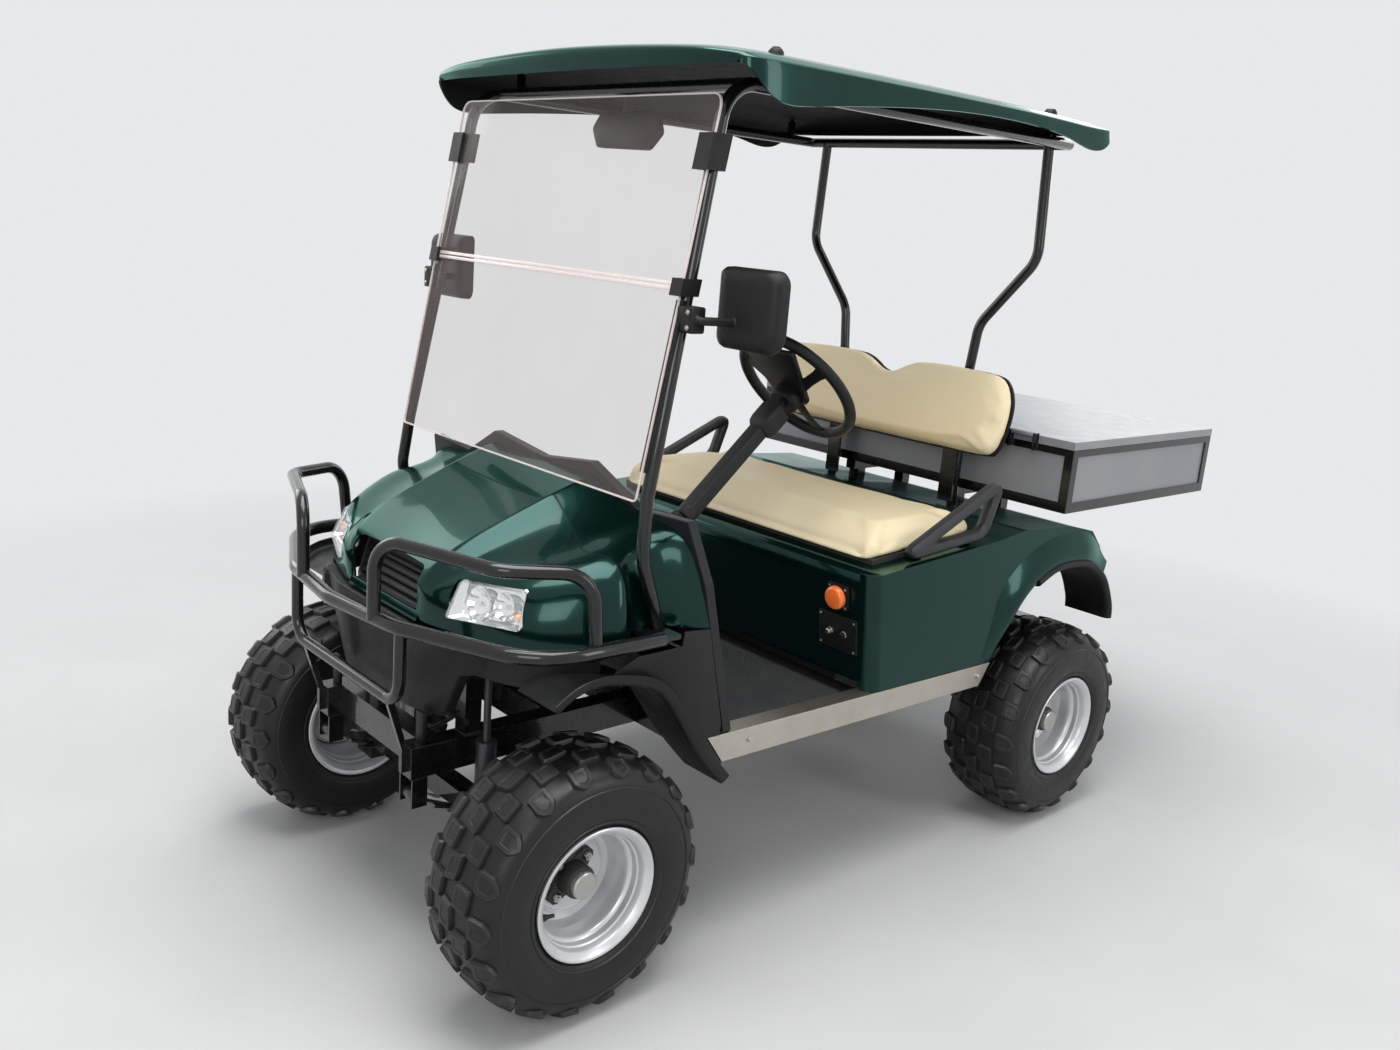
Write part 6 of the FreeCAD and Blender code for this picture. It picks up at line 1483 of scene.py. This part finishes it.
CABIN_MIRROR = here(0.065, -0.440, 1.776)
CABIN_OUTLINE = ((-0.120, 0.004), (-0.100, -0.038), (0.078, -0.042), (0.120, -0.006), (0.104, 0.036),
                 (-0.090, 0.038))
CABIN_LEVELS = ((0.0125, 0.93), (0.0140, 0.97), (0.0110, 1.0), (-0.0050, 1.0), (-0.0135, 0.80))
CABIN_GLASS = ((0.0124, 0.93),)
CABIN_STEM = ((0, 0), (0.012, 0.0), (0.009, 0.010), (0.009, 0.045), (0.013, 0.052), (0.013, 0.060),
              (0, 0.060))


def interior_mirror():
    outline = soft_outline(CABIN_OUTLINE, 0.009, 4)

    def at(x, z, y):
        return CABIN_MIRROR + Vector((x, y, z))
    head = stack_form(outline, CABIN_LEVELS, at, inside=CABIN_MIRROR)
    face = stack_form(outline, CABIN_GLASS, at, direction=(0, 1, 0))
    stem = turned(CABIN_STEM, BLACK, CABIN_MIRROR + Vector((0, 0, 0.030)), UP, 24)
    parts = [coloured(head, BLACK), stem, coloured(face, MIRROR)]
    return put("cabin_mirror", parts, "black_plastic", "interior_mirror", smooth=35)


TAIL_HALF = 0.070
# How far out of the rear face and share of the outline
TAIL_BASE = ((0.0003, 1.0), (0.009, 1.0), (0.011, 0.97))
TAIL_LENS = ((0.0100, 0.93), (0.0185, 0.92), (0.0212, 0.87), (0.0215, 0.5))
TAIL_RIBS = 9
TAIL_RIB_PITCH = 0.0135


def tail_lights():
    low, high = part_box("tail_lights")
    half_z = (high.z - low.z) / 2
    centre_x, centre_z = high.x - TAIL_HALF, (low.z + high.z) / 2
    outline = soft_rectangle(TAIL_HALF, half_z, 0.010)

    def at(x, z, out):
        return Vector((centre_x + x, low.y + out, centre_z + z))
    parts = [coloured(stack_form(outline, levels, at, inside=at(0, 0, -0.05)), look)
             for look, levels in ((BLACK, TAIL_BASE), (LOOKS["lamp_red"], TAIL_LENS))]
    for k in range(TAIL_RIBS):
        x = centre_x + (k - TAIL_RIBS // 2) * TAIL_RIB_PITCH
        rib = block((x - 0.0015, low.y + 0.019, low.z + 0.006), (x + 0.0015, high.y + 0.0002, high.z - 0.006))
        parts.append(coloured(rounded(rib, 0.0008, 1), LOOKS["lamp_red"]))
    one = joined(parts)
    return put("tail_lamps", [one, mirrored(one)], "lamp_red", "tail_lights")


# What keeps its CAD solid

# Edge radius of the solids that are moulded or folded softer than the rest
SOFT_EDGES = {"windshield_clips": 0.003, "dash_panel": 0.003, "seat_back_brackets": 0.002,
              "cargo_frame": 0.002, "rocker_panels": 0.0012}
EDGE_RADIUS = 0.0016


def dress():
    """Every CAD node gets its slot's material and softly rounded edges."""
    slots = {row["node"]: row["material_slot"] for row in frame["record"]["subparts"]}
    for name, piece in frame["nodes"].items():
        coloured(piece.data, LOOKS[slots[name]])
        add(piece, "WELD", merge_threshold=0.00005)
        add(piece, "BEVEL", width=SOFT_EDGES.get(name, EDGE_RADIUS), segments=2, limit_method="ANGLE",
            angle_limit=math.radians(32), harden_normals=True, use_clamp_overlap=True)


# Camera, lights and floor

BACKGROUND = (0.80, 0.81, 0.82, 1)
# Soft panels that light the cart: name, place, size and power
LAMPS = (
    ("sky_light", (0.3, -0.4, 4.4), (3.0, 3.6), 225),
    ("front_light", (3.2, -3.8, 2.6), (2.0, 1.8), 50),
    ("left_light", (4.2, 1.6, 2.4), (1.0, 2.4), 34),
    ("right_light", (-4.0, -1.4, 2.6), (2.0, 2.2), 34),
    ("rear_light", (-0.6, 4.4, 2.6), (2.4, 1.6), 26),
)
LAMP_AIM = here(0, 0.1, 0.8)
CAMERA_PLACE = here(2.3055, -2.1825, 1.5857)
CAMERA_AZIMUTH = 47.404
CAMERA_DOWN = 13.788
CAMERA_ROLL = 4.667
LENS_MM = 31.34
SENSOR_MM = 36.0


def camera():
    azimuth, down, roll = (math.radians(v) for v in (CAMERA_AZIMUTH, CAMERA_DOWN, CAMERA_ROLL))
    back = Vector((math.sin(azimuth) * math.cos(down), -math.cos(azimuth) * math.cos(down), math.sin(down)))
    right = (-back).cross(Vector(UP)).normalized()
    up = right.cross(-back)
    across = right * math.cos(roll) + up * math.sin(roll)
    upward = -right * math.sin(roll) + up * math.cos(roll)
    data = bpy.data.cameras.new("camera")
    data.lens = LENS_MM
    data.sensor_width = SENSOR_MM
    made = linked("camera", data)
    turn = Matrix((across, upward, back)).transposed()
    made.matrix_world = Matrix.Translation(CAMERA_PLACE) @ turn.to_4x4()
    bpy.context.scene.camera = made


def lamp(name, place_at, size, power):
    data = bpy.data.lights.new(name, "AREA")
    data.shape = "RECTANGLE"
    data.size, data.size_y = size
    data.energy = power
    made = linked(name, data)
    made.location = place_at
    made.rotation_euler = (LAMP_AIM - place_at).to_track_quat("-Z", "Y").to_euler()


def white_share(tree):
    """1 for rays that show the background: from the camera, in gloss and through clear sheets."""
    path = tree.nodes.new("ShaderNodeLightPath")
    share = path.outputs["Is Camera Ray"]
    for other in ("Is Glossy Ray", "Is Transmission Ray"):
        larger = node(tree, "ShaderNodeMath", operation="MAXIMUM")
        tree.links.new(share, larger.inputs[0])
        tree.links.new(path.outputs[other], larger.inputs[1])
        share = larger.outputs[0]
    return share


def mixed_shaders(tree, share, first, second):
    mix = tree.nodes.new("ShaderNodeMixShader")
    for source, socket in ((share, mix.inputs["Fac"]), (first, mix.inputs[1]), (second, mix.inputs[2])):
        tree.links.new(source, socket)
    return mix.outputs[0]


def studio():
    world = bpy.data.worlds.new("studio")
    bpy.context.scene.world = world
    world.use_nodes = True
    tree = world.node_tree
    shade = tree.nodes["Background"]
    set_inputs(shade, {"Color": (0.84, 0.86, 0.88, 1), "Strength": 0.65})
    white = node(tree, "ShaderNodeBackground", Color=BACKGROUND, Strength=1.0)
    mix = mixed_shaders(tree, white_share(tree), shade.outputs[0], white.outputs[0])
    tree.links.new(mix, tree.nodes["World Output"].inputs["Surface"])
    for name, place_at, size, power in LAMPS:
        lamp(name, here(*place_at), size, power)


FLOOR_HALF = 14.0
# Distances from the middle where the floor starts to fade and where it is gone
FLOOR_FADE = (1.9, 4.2)


def floor():
    """A pale floor that keeps the cart's shadow and fades into the background further out."""
    look, tree = new_look("pale_floor")
    shader = tree.nodes["Principled BSDF"]
    pale = ramp(tree, noise(tree, 1.5, 4), ((0.3, 0.50), (0.7, 0.54)))
    tree.links.new(pale, shader.inputs["Base Color"])
    set_inputs(shader, {"Roughness": 0.9, "Specular IOR Level": 0.1})
    far = node(tree, "ShaderNodeEmission", Color=BACKGROUND)
    coords = tree.nodes.new("ShaderNodeTexCoord")
    length = node(tree, "ShaderNodeVectorMath", operation="LENGTH")
    tree.links.new(coords.outputs["Object"], length.inputs[0])
    fade = tree.nodes.new("ShaderNodeMapRange")
    set_inputs(fade, dict(zip(("From Min", "From Max"), FLOOR_FADE)))
    tree.links.new(length.outputs["Value"], fade.inputs["Value"])
    share = node(tree, "ShaderNodeMath", operation="MULTIPLY")
    tree.links.new(fade.outputs["Result"], share.inputs[0])
    tree.links.new(white_share(tree), share.inputs[1])
    mix = mixed_shaders(tree, share.outputs[0], shader.outputs[0], far.outputs[0])
    tree.links.new(mix, tree.nodes["Material Output"].inputs["Surface"])
    size = FLOOR_HALF
    mesh = mesh_from([(-size, -size, 0), (size, -size, 0), (size, size, 0), (-size, size, 0)], [[0, 1, 2, 3]])
    linked("floor", coloured(mesh, look))


bpy.context.scene.view_settings.view_transform = "Standard"
camera()
studio()
floor()
dress()
wheels()
cowl()
grille()
headlights()
front_panel()
flares()
body_corners()
arch_bulges()
seat_cushion()
seat_back()
hip_loops()
steering_wheel()
steering_column()
seat_controls()
floor_mat()
rocker_bolts()
canopy()
windshields()
side_mirrors()
interior_mirror()
tail_lights()
